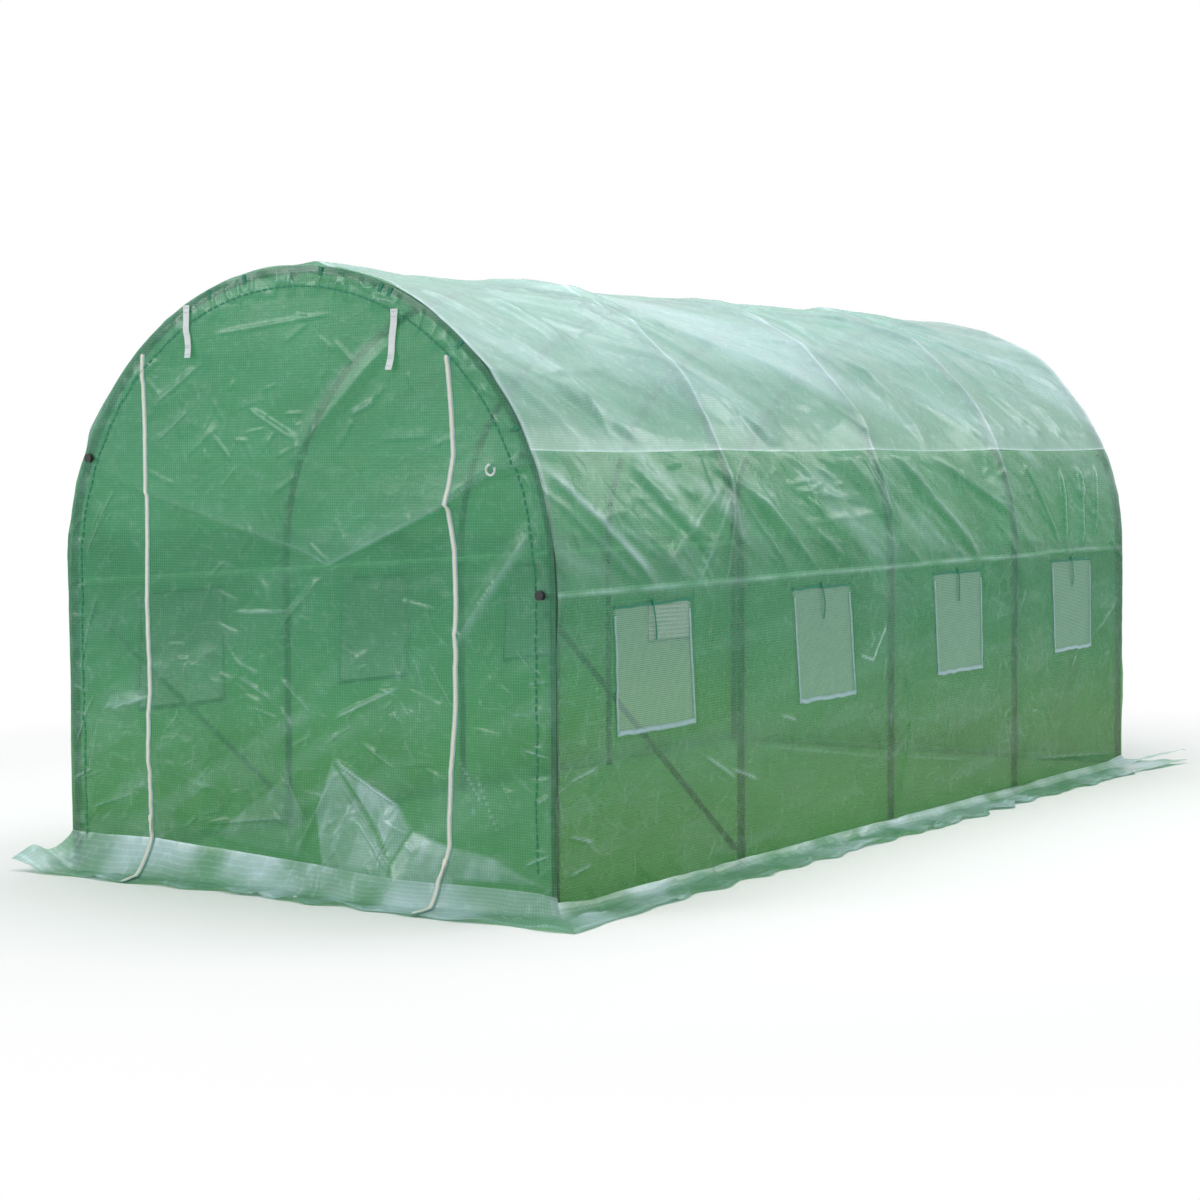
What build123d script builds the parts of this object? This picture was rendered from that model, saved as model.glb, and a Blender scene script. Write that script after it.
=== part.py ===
from build123d import *

import os
from math import cos, hypot, radians, sin, sqrt

os.makedirs("parts", exist_ok=True)

# Polytunnel: five bent steel hoops, straight purlins and a green film cover.
# X runs across the tunnel, Y from the front door to the rear, Z up from the ground.

# Steel frame, measured over the outside of the tubes.
tunnel_length = 4500
tunnel_width = 2000
tunnel_height = 2000
tube_diameter = 25
purlin_diameter = 20
tube_sides = 12
hoop_names = ["front", "second", "third", "fourth", "rear"]
crown_joint_angle = 60
shoulder_angle = 24
ridge_angle = 90
half_turn = 180
side_purlin_drop = 30
end_cap_thickness = 3
brace_drop = 55
brace_foot_height = 60

# Film cover and what is sewn to it.
film_thickness = 2
film_gap = 0.3
seat_gap = 0.3
skirt_width = 200
skirt_rise = 80
skirt_run = 70
door_width = 1260
zip_tape_width = 32
zip_coil_width = 8
zip_coil_height = 3
window_width = 420
window_height = 390
window_head_drop = 80
window_trim_width = 20
window_trim_thickness = 2
tie_width = 12
tie_thickness = 1.5
tie_length = 130
strap_spacing = 850
strap_width = 25
strap_thickness = 2
strap_length = 170
strap_inset = 15

# Places that follow from the sizes above.
hoop_count = len(hoop_names)
tube_radius = tube_diameter / 2
purlin_radius = purlin_diameter / 2
arch_radius = tunnel_width / 2
hoop_radius = arch_radius - tube_radius
leg_height = tunnel_height - arch_radius
bay_length = (tunnel_length - tube_diameter) / (hoop_count - 1)
first_hoop_y = -(tunnel_length - tube_diameter) / 2
hoop_places = [first_hoop_y + bay_length * index for index in range(hoop_count)]
bay_places = [first_hoop_y + bay_length * (index + 1 / 2) for index in range(hoop_count - 1)]
purlin_radius_line = arch_radius - tube_diameter - seat_gap - purlin_radius
purlin_end = tunnel_length / 2 - end_cap_thickness
side_purlin_height = leg_height - side_purlin_drop
film_inner = arch_radius + film_gap
film_outer = film_inner + film_thickness
end_film_inner = tunnel_length / 2 + film_gap
end_film_outer = end_film_inner + film_thickness
panel_radius = film_inner - seat_gap
film_wall_height = leg_height - skirt_rise
window_head_height = leg_height - window_head_drop
window_centre_height = window_head_height - window_height / 2
window_places = [(place, window_centre_height) for place in bay_places]
sides = [("left", -1), ("right", 1)]


def save_piece(piece, piece_name):
    piece.part.label = piece_name
    export_step(piece.part, f"parts/{piece_name}.step")


def hoop_plane(angle, hoop_y):
    # Square to the hoop's bend at an angle up from the right-hand springing.
    along = (cos(radians(angle)), 0, sin(radians(angle)))
    onward = (-sin(radians(angle)), 0, cos(radians(angle)))
    return Plane(origin=(0, hoop_y, leg_height), x_dir=along, z_dir=onward)


def sketch_tube(diameter):
    # Narrow flats stand in for the round section and keep the long bends light.
    RegularPolygon(diameter / 2, tube_sides, major_radius=False, rotation=half_turn / tube_sides)


def cross_plane(place_y):
    # Upright plane across the tunnel, facing the front.
    return Plane.XZ.offset(-place_y)


# Hoops: two straight legs, two side bends and a crown bend on each.
for hoop_name, hoop_y in zip(hoop_names, hoop_places):
    bend_axis = Axis((0, hoop_y, leg_height), (0, -1, 0))

    with BuildPart() as hoop_legs:
        with BuildSketch(Plane.XY):
            with Locations((-hoop_radius, hoop_y), (hoop_radius, hoop_y)):
                sketch_tube(tube_diameter)
        extrude(amount=leg_height)
    save_piece(hoop_legs, f"{hoop_name}_hoop_legs")

    with BuildPart() as hoop_side_bends:
        for start_angle in (0, half_turn - crown_joint_angle):
            with BuildSketch(hoop_plane(start_angle, hoop_y)):
                with Locations((hoop_radius, 0)):
                    sketch_tube(tube_diameter)
            revolve(axis=bend_axis, revolution_arc=crown_joint_angle)
    save_piece(hoop_side_bends, f"{hoop_name}_hoop_side_bends")

    with BuildPart() as hoop_crown:
        with BuildSketch(hoop_plane(crown_joint_angle, hoop_y)):
            with Locations((hoop_radius, 0)):
                sketch_tube(tube_diameter)
        revolve(axis=bend_axis, revolution_arc=half_turn - 2 * crown_joint_angle)
    save_piece(hoop_crown, f"{hoop_name}_hoop_crown")

# Purlins lie inside the hoops, one length to a bay, meeting end to end behind each hoop.
shoulder_x = purlin_radius_line * cos(radians(shoulder_angle))
shoulder_z = leg_height + purlin_radius_line * sin(radians(shoulder_angle))
purlin_lines = {
    "ridge_purlin": (0, leg_height + purlin_radius_line),
    "left_shoulder_purlin": (-shoulder_x, shoulder_z),
    "right_shoulder_purlin": (shoulder_x, shoulder_z),
    "left_side_purlin": (-purlin_radius_line, side_purlin_height),
    "right_side_purlin": (purlin_radius_line, side_purlin_height),
}
purlin_stops = [-purlin_end] + hoop_places[1:-1] + [purlin_end]

for purlin_name, purlin_line in purlin_lines.items():
    with BuildPart() as purlin:
        for start_y, stop_y in zip(purlin_stops[:-1], purlin_stops[1:]):
            with BuildSketch(cross_plane(stop_y - seat_gap / 2)):
                with Locations(purlin_line):
                    sketch_tube(purlin_diameter)
            extrude(amount=stop_y - start_y - seat_gap)
    save_piece(purlin, purlin_name)

# Push-on caps close both ends of every purlin.
with BuildPart() as purlin_end_caps:
    for cap_y in (-purlin_end + seat_gap / 2, tunnel_length / 2):
        with BuildSketch(cross_plane(cap_y)):
            with Locations(*purlin_lines.values()):
                sketch_tube(purlin_diameter)
        extrude(amount=end_cap_thickness + seat_gap / 2)
    cap_faces = purlin_end_caps.faces().filter_by(Axis.Y).group_by(Axis.Y)
    chamfer((cap_faces[0] + cap_faces[-1]).edges(), end_cap_thickness / 3)
save_piece(purlin_end_caps, "purlin_end_caps")

# A diagonal brace on each side of the front bay, from under the side purlin to the next leg's foot.
brace_top_height = side_purlin_height - brace_drop
brace_fall = brace_top_height - brace_foot_height
brace_length = hypot(bay_length, brace_fall)

with BuildPart() as front_braces:
    for brace_x in (-purlin_radius_line, purlin_radius_line):
        brace_plane = Plane(
            origin=(brace_x, hoop_places[0], brace_top_height),
            x_dir=(1, 0, 0),
            z_dir=(0, bay_length, -brace_fall),
        )
        with BuildSketch(brace_plane):
            sketch_tube(purlin_diameter)
        extrude(amount=brace_length)
save_piece(front_braces, "front_braces")

# Side walls: flat film with four windows cut through, each closed by a mesh and edged with tape.
for side_name, side in sides:
    with BuildPart() as wall_film:
        with BuildSketch(Plane.YZ.offset(side * film_inner)):
            with Locations((0, skirt_rise + film_wall_height / 2)):
                Rectangle(2 * end_film_outer, film_wall_height)
            with Locations(*window_places):
                Rectangle(window_width, window_height, mode=Mode.SUBTRACT)
        extrude(amount=side * film_thickness)
    save_piece(wall_film, f"{side_name}_wall_film")

    with BuildPart() as window_meshes:
        with BuildSketch(Plane.YZ.offset(side * film_inner)):
            with Locations(*window_places):
                Rectangle(window_width - 2 * seat_gap, window_height - 2 * seat_gap)
        extrude(amount=side * film_thickness)
    save_piece(window_meshes, f"{side_name}_window_meshes")

    with BuildPart() as window_trims:
        with BuildSketch(Plane.YZ.offset(side * film_outer)):
            with Locations(*window_places):
                Rectangle(window_width + 2 * window_trim_width, window_height + 2 * window_trim_width)
                Rectangle(window_width, window_height, mode=Mode.SUBTRACT)
        extrude(amount=side * window_trim_thickness)
    save_piece(window_trims, f"{side_name}_window_trims")

    tie_top = window_head_height + window_trim_width
    with BuildPart() as window_ties:
        with BuildSketch(Plane.YZ.offset(side * (film_outer + window_trim_thickness))):
            with Locations(*[(place, tie_top - tie_length / 2) for place in bay_places]):
                Rectangle(tie_width, tie_length)
        extrude(amount=side * tie_thickness)
    save_piece(window_ties, f"{side_name}_window_ties")

# Arched film in four lengths round the hoops, creased along the shoulder purlins and the ridge.
arch_pieces = {
    "right_haunch_film": (0, shoulder_angle),
    "right_roof_film": (shoulder_angle, ridge_angle),
    "left_roof_film": (ridge_angle, half_turn - shoulder_angle),
    "left_haunch_film": (half_turn - shoulder_angle, half_turn),
}

for film_name, (start_angle, stop_angle) in arch_pieces.items():
    with BuildPart() as arch_film:
        with BuildSketch(cross_plane(end_film_outer)):
            with BuildLine():
                inside = CenterArc((0, leg_height), film_inner, start_angle, stop_angle - start_angle)
                outside = CenterArc((0, leg_height), film_outer, start_angle, stop_angle - start_angle)
                Line(inside @ 0, outside @ 0)
                Line(inside @ 1, outside @ 1)
            make_face()
        extrude(amount=2 * end_film_outer)
    save_piece(arch_film, film_name)


def sketch_end_strip(left_x, right_x):
    # The part of the arched end wall that lies between two upright lines.
    with Locations((0, leg_height)):
        Circle(panel_radius)
    with Locations((0, leg_height / 2)):
        Rectangle(2 * panel_radius, leg_height)
    with Locations(((left_x + right_x) / 2, skirt_rise)):
        Rectangle(
            right_x - left_x,
            tunnel_height,
            align=(Align.CENTER, Align.MIN),
            mode=Mode.INTERSECT,
        )


# Front wall: a rolled-up-type door panel held by a zip on each side, between two fixed panels.
zip_inner = door_width / 2 - zip_tape_width / 2
zip_outer = door_width / 2 + zip_tape_width / 2
front_panels = {
    "front_left_panel": (-panel_radius, -zip_outer),
    "front_door_panel": (-zip_inner, zip_inner),
    "front_right_panel": (zip_outer, panel_radius),
}

for panel_name, (left_x, right_x) in front_panels.items():
    with BuildPart() as front_panel:
        with BuildSketch(cross_plane(-end_film_inner)):
            sketch_end_strip(left_x, right_x)
        extrude(amount=film_thickness)
    save_piece(front_panel, panel_name)

with BuildPart() as door_zips:
    for zip_x in (-door_width / 2, door_width / 2):
        with BuildSketch(cross_plane(-end_film_inner)):
            sketch_end_strip(zip_x - zip_tape_width / 2, zip_x + zip_tape_width / 2)
        extrude(amount=film_thickness)
        with BuildSketch(cross_plane(-end_film_outer)):
            sketch_end_strip(zip_x - zip_coil_width / 2, zip_x + zip_coil_width / 2)
        extrude(amount=zip_coil_height)
save_piece(door_zips, "door_zips")

# Two webbing straps hang at the head of the door.
strap_x = strap_spacing / 2
strap_top = leg_height + sqrt(panel_radius**2 - (strap_x + strap_width / 2) ** 2) - strap_inset

with BuildPart() as door_straps:
    with BuildSketch(cross_plane(-end_film_outer)):
        with Locations((-strap_x, strap_top - strap_length / 2), (strap_x, strap_top - strap_length / 2)):
            Rectangle(strap_width, strap_length)
    extrude(amount=strap_thickness)
save_piece(door_straps, "door_straps")

# Rear wall: one plain panel.
with BuildPart() as rear_panel:
    with BuildSketch(cross_plane(end_film_outer)):
        sketch_end_strip(-panel_radius, panel_radius)
    extrude(amount=film_thickness)
save_piece(rear_panel, "rear_panel")


skirt_spread = film_thickness + skirt_width
end_skirt_edge = end_film_inner + skirt_spread
side_skirt_edge = film_inner + skirt_spread


def skirt_profile(wall_inner, outward):
    # Film that leaves the wall a little above the ground, slopes out and lies flat.
    wall_outer = wall_inner + film_thickness
    skirt_edge = wall_inner + skirt_spread
    return [
        (outward * wall_inner, skirt_rise),
        (outward * wall_outer, skirt_rise),
        (outward * (wall_outer + skirt_run), film_thickness),
        (outward * skirt_edge, film_thickness),
        (outward * skirt_edge, 0),
        (outward * (wall_inner + skirt_run), 0),
    ]


# Skirts on all four sides lie on the ground and are mitred where they meet at the corners.
for skirt_name, outward in [("front_skirt", -1), ("rear_skirt", 1)]:
    with BuildPart() as end_skirt:
        with BuildSketch(Plane.YZ):
            with BuildLine():
                Polyline(*skirt_profile(end_film_inner, outward), close=True)
            make_face()
        extrude(amount=side_skirt_edge, both=True)
        with BuildSketch(Plane.XY):
            with BuildLine():
                Polyline(
                    (-film_inner, outward * end_film_inner),
                    (film_inner, outward * end_film_inner),
                    (side_skirt_edge, outward * end_skirt_edge),
                    (-side_skirt_edge, outward * end_skirt_edge),
                    close=True,
                )
            make_face()
        extrude(amount=skirt_rise, mode=Mode.INTERSECT)
    save_piece(end_skirt, skirt_name)

for side_name, outward in sides:
    with BuildPart() as side_skirt:
        with BuildSketch(Plane.XZ):
            with BuildLine():
                Polyline(*skirt_profile(film_inner, outward), close=True)
            make_face()
        extrude(amount=end_skirt_edge, both=True)
        with BuildSketch(Plane.XY):
            with BuildLine():
                Polyline(
                    (outward * film_inner, -end_film_inner),
                    (outward * film_inner, end_film_inner),
                    (outward * side_skirt_edge, end_skirt_edge),
                    (outward * side_skirt_edge, -end_skirt_edge),
                    close=True,
                )
            make_face()
        extrude(amount=skirt_rise, mode=Mode.INTERSECT)
    save_piece(side_skirt, f"{side_name}_skirt")
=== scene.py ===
import math

import bpy
import numpy as np
from mathutils import Matrix, Vector


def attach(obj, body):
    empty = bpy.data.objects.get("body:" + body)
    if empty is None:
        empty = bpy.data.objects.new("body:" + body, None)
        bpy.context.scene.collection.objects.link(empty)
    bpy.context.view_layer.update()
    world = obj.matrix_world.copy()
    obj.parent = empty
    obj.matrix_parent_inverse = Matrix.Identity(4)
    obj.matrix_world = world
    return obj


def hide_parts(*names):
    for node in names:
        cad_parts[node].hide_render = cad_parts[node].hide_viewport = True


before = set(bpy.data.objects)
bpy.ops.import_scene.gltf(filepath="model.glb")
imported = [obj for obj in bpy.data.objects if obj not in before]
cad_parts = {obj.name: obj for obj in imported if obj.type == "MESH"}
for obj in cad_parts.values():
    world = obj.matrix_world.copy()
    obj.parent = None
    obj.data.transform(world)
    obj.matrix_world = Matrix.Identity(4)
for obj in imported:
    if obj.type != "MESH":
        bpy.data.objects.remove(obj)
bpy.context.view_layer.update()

print("frame loaded:", len(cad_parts), "nodes")

# everything below is in metres: X across, Y to the rear, Z up
tunnel = {
    "radius": 1.0,
    "springing": 1.0,
    "halfLength": 2.25,
    "tube": 0.025,
    "purlin": 0.02,
    "filmOut": 0.0013,  # film stands this far off the tubes
    "shoulder": math.radians(24),
}
filmRadius = tunnel["radius"] + tunnel["filmOut"]
filmEnd = tunnel["halfLength"] + tunnel["filmOut"]
hoopPlaces = np.linspace(-1, 1, 5) * (tunnel["halfLength"] - tunnel["tube"] / 2)
bayPlaces = (hoopPlaces[1:] + hoopPlaces[:-1]) / 2
shoulderRun = tunnel["springing"] + filmRadius * tunnel["shoulder"]  # up the wall and round to the shoulder
ridgeRun = tunnel["springing"] + filmRadius * math.pi / 2


def addObject(name, mesh, material):
    obj = bpy.data.objects.new(name, mesh)
    bpy.context.scene.collection.objects.link(obj)
    mesh.materials.append(material)
    return obj


def addMesh(name, points, faces, material, flatMap=None, hazeAndSheen=None, smooth=True):
    mesh = bpy.data.meshes.new(name)
    mesh.from_pydata(np.asarray(points).tolist(), [], np.asarray(faces).tolist())
    mesh.polygons.foreach_set("use_smooth", [smooth] * len(mesh.polygons))
    if flatMap is not None:
        corners = np.empty(len(mesh.loops), dtype=np.int32)
        mesh.loops.foreach_get("vertex_index", corners)
        layer = mesh.uv_layers.new(name="flat")
        layer.data.foreach_set("uv", np.asarray(flatMap, dtype=np.float32)[corners].ravel())
    # the pale attribute holds the film's own haze and whitening together with painted highlights, glints and
    # sheen
    if hazeAndSheen is not None:
        layer = mesh.attributes.new("hazeAndSheen", "FLOAT", "POINT")
        layer.data.foreach_set("value", np.asarray(hazeAndSheen, dtype=np.float32).ravel())
    mesh.update()
    return addObject(name, mesh, material)


def addGrid(name, points, flat, hazeAndSheen, material, keep=None):
    rows, columns = points.shape[:2]
    index = np.arange(rows * columns).reshape(rows, columns)
    faces = np.stack([index[:-1, :-1], index[:-1, 1:], index[1:, 1:], index[1:, :-1]], axis=-1)
    faces = faces[keep] if keep is not None else faces.reshape(-1, 4)
    used = np.unique(faces)
    renumber = np.zeros(rows * columns, dtype=np.int64)
    renumber[used] = np.arange(len(used))
    return addMesh(
        name,
        points.reshape(-1, 3)[used],
        renumber[faces],
        material,
        flat.reshape(-1, 2)[used],
        hazeAndSheen.reshape(-1)[used],
    )


def addPiece(obj, slotName, *nodes):
    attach(obj, "root")
    if nodes:
        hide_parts(*nodes)
    return obj


def tubeParts(path, radius, sides=16):
    path = np.asarray(path, dtype=float)
    ahead = np.gradient(path, axis=0)
    ahead /= np.linalg.norm(ahead, axis=1)[:, None]
    up = np.array([0.0, 1.0, 0.0]) if abs(ahead[0][1]) < 0.9 else np.array([1.0, 0.0, 0.0])
    rings = []
    for place, way in zip(path, ahead):
        up = up - way * (up @ way)
        up = up / np.linalg.norm(up)
        out = np.cross(way, up)
        turn = np.arange(sides) * 2 * math.pi / sides
        rings.append(place + radius * (np.cos(turn)[:, None] * up + np.sin(turn)[:, None] * out))
    points = np.concatenate(rings)
    faces = []
    for ring in range(len(path) - 1):
        for side in range(sides):
            nextSide = (side + 1) % sides
            low, high = ring * sides, (ring + 1) * sides
            faces.append([low + side, low + nextSide, high + nextSide, high + side])
    faces.append(list(range(sides))[::-1])
    faces.append([(len(path) - 1) * sides + side for side in range(sides)])
    return points, faces


def joinParts(parts):
    points, faces, start = [], [], 0
    for partPoints, partFaces in parts:
        points.append(np.asarray(partPoints, dtype=float))
        faces.extend([[corner + start for corner in face] for face in partFaces])
        start += len(partPoints)
    return np.concatenate(points), faces


def addParts(name, parts, material, smooth=True):
    points, faces = joinParts(parts)
    mesh = bpy.data.meshes.new(name)
    mesh.from_pydata(points.tolist(), [], [list(map(int, face)) for face in faces])
    mesh.polygons.foreach_set("use_smooth", [smooth] * len(mesh.polygons))
    if smooth:
        mesh.set_sharp_from_angle(angle=math.radians(40))
    mesh.update()
    return addObject(name, mesh, material)


def blockParts(places, alongs, acrosses, outs, sizes):
    corners = np.array([[i, j, k] for i in (-1, 1) for j in (-1, 1) for k in (-1, 1)], dtype=float) / 2
    sides = [[0, 1, 3, 2], [4, 6, 7, 5], [0, 4, 5, 1], [2, 3, 7, 6], [0, 2, 6, 4], [1, 5, 7, 3]]
    parts = []
    for place, along, across, out in zip(places, alongs, acrosses, outs):
        points = np.asarray(place) + (
            corners[:, :1] * sizes[0] * np.asarray(along)
            + corners[:, 1:2] * sizes[1] * np.asarray(across)
            + corners[:, 2:] * sizes[2] * np.asarray(out)
        )
        parts.append((points, sides))
    return parts


def ribbonParts(path, sideways, outward, width, thickness):
    # a flat tape: four corners swept along a path
    path, sideways, outward = np.asarray(path), np.asarray(sideways), np.asarray(outward)
    half = sideways * width / 2
    top = outward * thickness
    rings = [path - half, path + half, path + half + top, path - half + top]
    count = len(path)
    points = np.stack(rings, axis=1).reshape(-1, 3)
    faces = []
    for step in range(count - 1):
        near, far = step * 4, step * 4 + 4
        for corner in range(4):
            nextCorner = (corner + 1) % 4
            faces.append([near + corner, near + nextCorner, far + nextCorner, far + corner])
    faces.append([3, 2, 1, 0])
    faces.append([(count - 1) * 4 + corner for corner in range(4)])
    return points, faces


def addNode(tree, kind, place, **values):
    node = tree.nodes.new(kind)
    node.location = place
    for key, value in values.items():
        if hasattr(node, key):
            setattr(node, key, value)
        else:
            node.inputs[key].default_value = value
    return node


def newMaterial(name):
    material = bpy.data.materials.new(name)
    material.use_nodes = True
    tree = material.node_tree
    tree.nodes.clear()
    output = addNode(tree, "ShaderNodeOutputMaterial", (1200, 0))
    return material, tree, output


def mixColour(tree, place, factor, first, second, blend="MIX"):
    node = addNode(tree, "ShaderNodeMix", place, data_type="RGBA", blend_type=blend)
    for socket, value in ((node.inputs[0], factor), (node.inputs[6], first), (node.inputs[7], second)):
        if hasattr(value, "is_output"):
            tree.links.new(value, socket)
        else:
            socket.default_value = value if isinstance(value, float) else (*value, 1.0)
    return node.outputs[2]


def math2(tree, place, operation, first, second=None, third=None):
    node = addNode(tree, "ShaderNodeMath", place, operation=operation)
    for socket, value in zip(node.inputs, (first, second, third)):
        if value is None:
            continue
        if hasattr(value, "is_output"):
            tree.links.new(value, socket)
        else:
            socket.default_value = value
    return node.outputs[0]


filmLook = {
    "green": (0.050, 0.300, 0.155),
    "lowGreen": (0.062, 0.185, 0.016),  # yellower towards the ground
    "thread": (0.19, 0.45, 0.33),
    # the pale colour, for the film's haze and whitening and for painted highlights and sheen
    "hazeAndSheen": (0.67, 0.87, 0.96),
    "through": (0.13, 0.46, 0.20),
    "lowThrough": (0.12, 0.34, 0.08),
    "clear": (0.46, 0.82, 0.54),
    "lowClear": (0.34, 0.62, 0.22),
    "gridPitch": 0.009,
    "threadShare": 0.28,
    "solid": 0.52,
    "threadSolid": 0.13,
    "paleSolid": 0.35,
    "backlight": 0.30,
    "rough": 0.26,
    "flecks": 0.13,
    "lowShare": 0.9,
    "lowSpan": (0.85, 0.15),  # heights between which the lower tone comes in
    "cloudScale": 2.6,
    "cloudShade": (0.86, 1.14),
    "crinkleScale": 34.0,
    "crinkleBump": 0.40,
    "threadTint": 0.35,
    "threadBump": 0.35,
    "shine": 0.62,
    "coat": 0.35,
    "coatRough": 0.14,
}
endLook = {**filmLook, "green": (0.056, 0.320, 0.170), "solid": 0.575, "lowShare": 0.4}  # the two end walls


def mapRange(tree, place, value, span, result):
    node = addNode(tree, "ShaderNodeMapRange", place, interpolation_type="SMOOTHSTEP")
    for key, number in zip(("From Min", "From Max", "To Min", "To Max"), (*span, *result)):
        node.inputs[key].default_value = number
    tree.links.new(value, node.inputs["Value"])
    return node.outputs[0]


def makeFilm(name, look):
    material, tree, output = newMaterial(name)
    link = tree.links.new
    flat = addNode(tree, "ShaderNodeUVMap", (-1600, 200), uv_map="flat")
    split = addNode(tree, "ShaderNodeSeparateXYZ", (-1400, 200))
    link(flat.outputs[0], split.inputs[0])
    threads = []
    for row, axis in enumerate((0, 1)):
        cell = math2(tree, (-1200, 300 - 200 * row), "DIVIDE", split.outputs[axis], look["gridPitch"])
        cell = math2(tree, (-1050, 300 - 200 * row), "FRACT", cell)
        threads.append(math2(tree, (-900, 300 - 200 * row), "LESS_THAN", cell, look["threadShare"]))
    thread = math2(tree, (-700, 250), "MAXIMUM", threads[0], threads[1])
    where = addNode(tree, "ShaderNodeTexCoord", (-1600, -300))
    cloud = addNode(tree, "ShaderNodeTexNoise", (-1300, -250), Detail=4.0, Roughness=0.6)
    cloud.inputs["Scale"].default_value = look["cloudScale"]
    link(where.outputs["Object"], cloud.inputs["Vector"])
    height = addNode(tree, "ShaderNodeSeparateXYZ", (-1300, -500))
    link(where.outputs["Object"], height.inputs[0])
    low = mapRange(tree, (-1100, -500), height.outputs[2], look["lowSpan"], (0.0, look["lowShare"]))
    # the pale attribute: the film's haze and whitening with painted highlights and sheen
    hazeAndSheen = addNode(tree, "ShaderNodeAttribute", (-1300, -800), attribute_name="hazeAndSheen")
    crinkle = addNode(tree, "ShaderNodeTexNoise", (-1300, -1000), Detail=5.0, Roughness=0.62)
    crinkle.inputs["Scale"].default_value = look["crinkleScale"]
    crinkle.inputs["Distortion"].default_value = 0.6
    link(where.outputs["Object"], crinkle.inputs["Vector"])
    # pale flecks where the crinkle noise peaks: painted glints
    flecks = mapRange(tree, (-1100, -1000), crinkle.outputs["Fac"], (0.48, 0.74), (0.0, look["flecks"]))
    paleAmount = math2(tree, (-1050, -800), "ADD", hazeAndSheen.outputs["Fac"], flecks)
    paleAmount = math2(tree, (-900, -800), "MINIMUM", paleAmount, 1.0)
    colour = mixColour(tree, (-700, 0), low, look["green"], look["lowGreen"])
    threadAmount = math2(tree, (-650, 150), "MULTIPLY", thread, look["threadTint"])
    colour = mixColour(tree, (-500, 0), threadAmount, colour, look["thread"])
    shade = mapRange(tree, (-1000, -250), cloud.outputs["Fac"], (0.3, 0.7), look["cloudShade"])
    tint = addNode(tree, "ShaderNodeCombineXYZ", (-800, -300))
    for axis in range(3):
        link(shade, tint.inputs[axis])
    colour = mixColour(tree, (-350, 0), 1.0, colour, tint.outputs[0], "MULTIPLY")
    colour = mixColour(tree, (-200, 0), paleAmount, colour, look["hazeAndSheen"])
    bump = addNode(tree, "ShaderNodeBump", (-500, -900), Strength=look["crinkleBump"], Distance=0.004)
    link(crinkle.outputs["Fac"], bump.inputs["Height"])
    weave = addNode(tree, "ShaderNodeBump", (-300, -900), Strength=look["threadBump"], Distance=0.0012)
    link(thread, weave.inputs["Height"])
    link(bump.outputs[0], weave.inputs["Normal"])
    surface = addNode(tree, "ShaderNodeBsdfPrincipled", (0, 100), Roughness=look["rough"])
    surface.inputs["Specular IOR Level"].default_value = look["shine"]
    surface.inputs["IOR"].default_value = 1.5
    surface.inputs["Coat Weight"].default_value = look["coat"]
    surface.inputs["Coat Roughness"].default_value = look["coatRough"]
    link(colour, surface.inputs["Base Color"])
    link(weave.outputs[0], surface.inputs["Normal"])
    through = addNode(tree, "ShaderNodeBsdfTranslucent", (0, -500))
    glow = mixColour(tree, (-350, -450), low, look["through"], look["lowThrough"])
    halfPale = math2(tree, (-500, -600), "MULTIPLY", paleAmount, 0.5)
    glow = mixColour(tree, (-200, -450), halfPale, glow, look["hazeAndSheen"])
    link(glow, through.inputs["Color"])
    link(bump.outputs[0], through.inputs["Normal"])
    body = addNode(tree, "ShaderNodeMixShader", (400, 0))
    backlight = look["backlight"]  # pale places let less light through
    glowShare = math2(tree, (250, 150), "MULTIPLY_ADD", paleAmount, -0.6 * backlight, backlight)
    link(glowShare, body.inputs[0])
    link(surface.outputs[0], body.inputs[1])
    link(through.outputs[0], body.inputs[2])
    clear = addNode(tree, "ShaderNodeBsdfTransparent", (400, -250))
    link(mixColour(tree, (200, -250), low, look["clear"], look["lowClear"]), clear.inputs[0])
    solid = math2(tree, (300, 300), "MULTIPLY_ADD", thread, look["threadSolid"], look["solid"])
    solid = math2(tree, (450, 300), "MULTIPLY_ADD", paleAmount, look["paleSolid"], solid)
    solid = math2(tree, (600, 300), "MINIMUM", solid, 1.0)
    whole = addNode(tree, "ShaderNodeMixShader", (800, 0))
    link(solid, whole.inputs[0])
    link(clear.outputs[0], whole.inputs[1])
    link(body.outputs[0], whole.inputs[2])
    link(whole.outputs[0], output.inputs[0])
    return material


def makePlain(name, look):
    # one solid finish: two close colours over a noise, with its own bump
    material, tree, output = newMaterial(name)
    link = tree.links.new
    where = addNode(tree, "ShaderNodeTexCoord", (-900, 0))
    cloud = addNode(tree, "ShaderNodeTexNoise", (-700, 0), Scale=look["scale"], Detail=4.0, Roughness=0.6)
    link(where.outputs["Object"], cloud.inputs["Vector"])
    colour = mixColour(tree, (-400, 0), cloud.outputs["Fac"], look["dark"], look["light"])
    rough = addNode(tree, "ShaderNodeMapRange", (-400, -250))
    for key, value in (("To Min", look["rough"] - 0.07), ("To Max", look["rough"] + 0.07)):
        rough.inputs[key].default_value = value
    link(cloud.outputs["Fac"], rough.inputs["Value"])
    bump = addNode(tree, "ShaderNodeBump", (-400, -500), Strength=look["bump"], Distance=0.001)
    grain = addNode(tree, "ShaderNodeTexNoise", (-700, -500), Scale=look["grain"], Detail=3.0)
    link(where.outputs["Object"], grain.inputs["Vector"])
    link(grain.outputs["Fac"], bump.inputs["Height"])
    surface = addNode(tree, "ShaderNodeBsdfPrincipled", (0, 0), Metallic=look.get("metal", 0.0))
    link(colour, surface.inputs["Base Color"])
    link(rough.outputs[0], surface.inputs["Roughness"])
    link(bump.outputs[0], surface.inputs["Normal"])
    link(surface.outputs[0], output.inputs[0])
    return material


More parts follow.
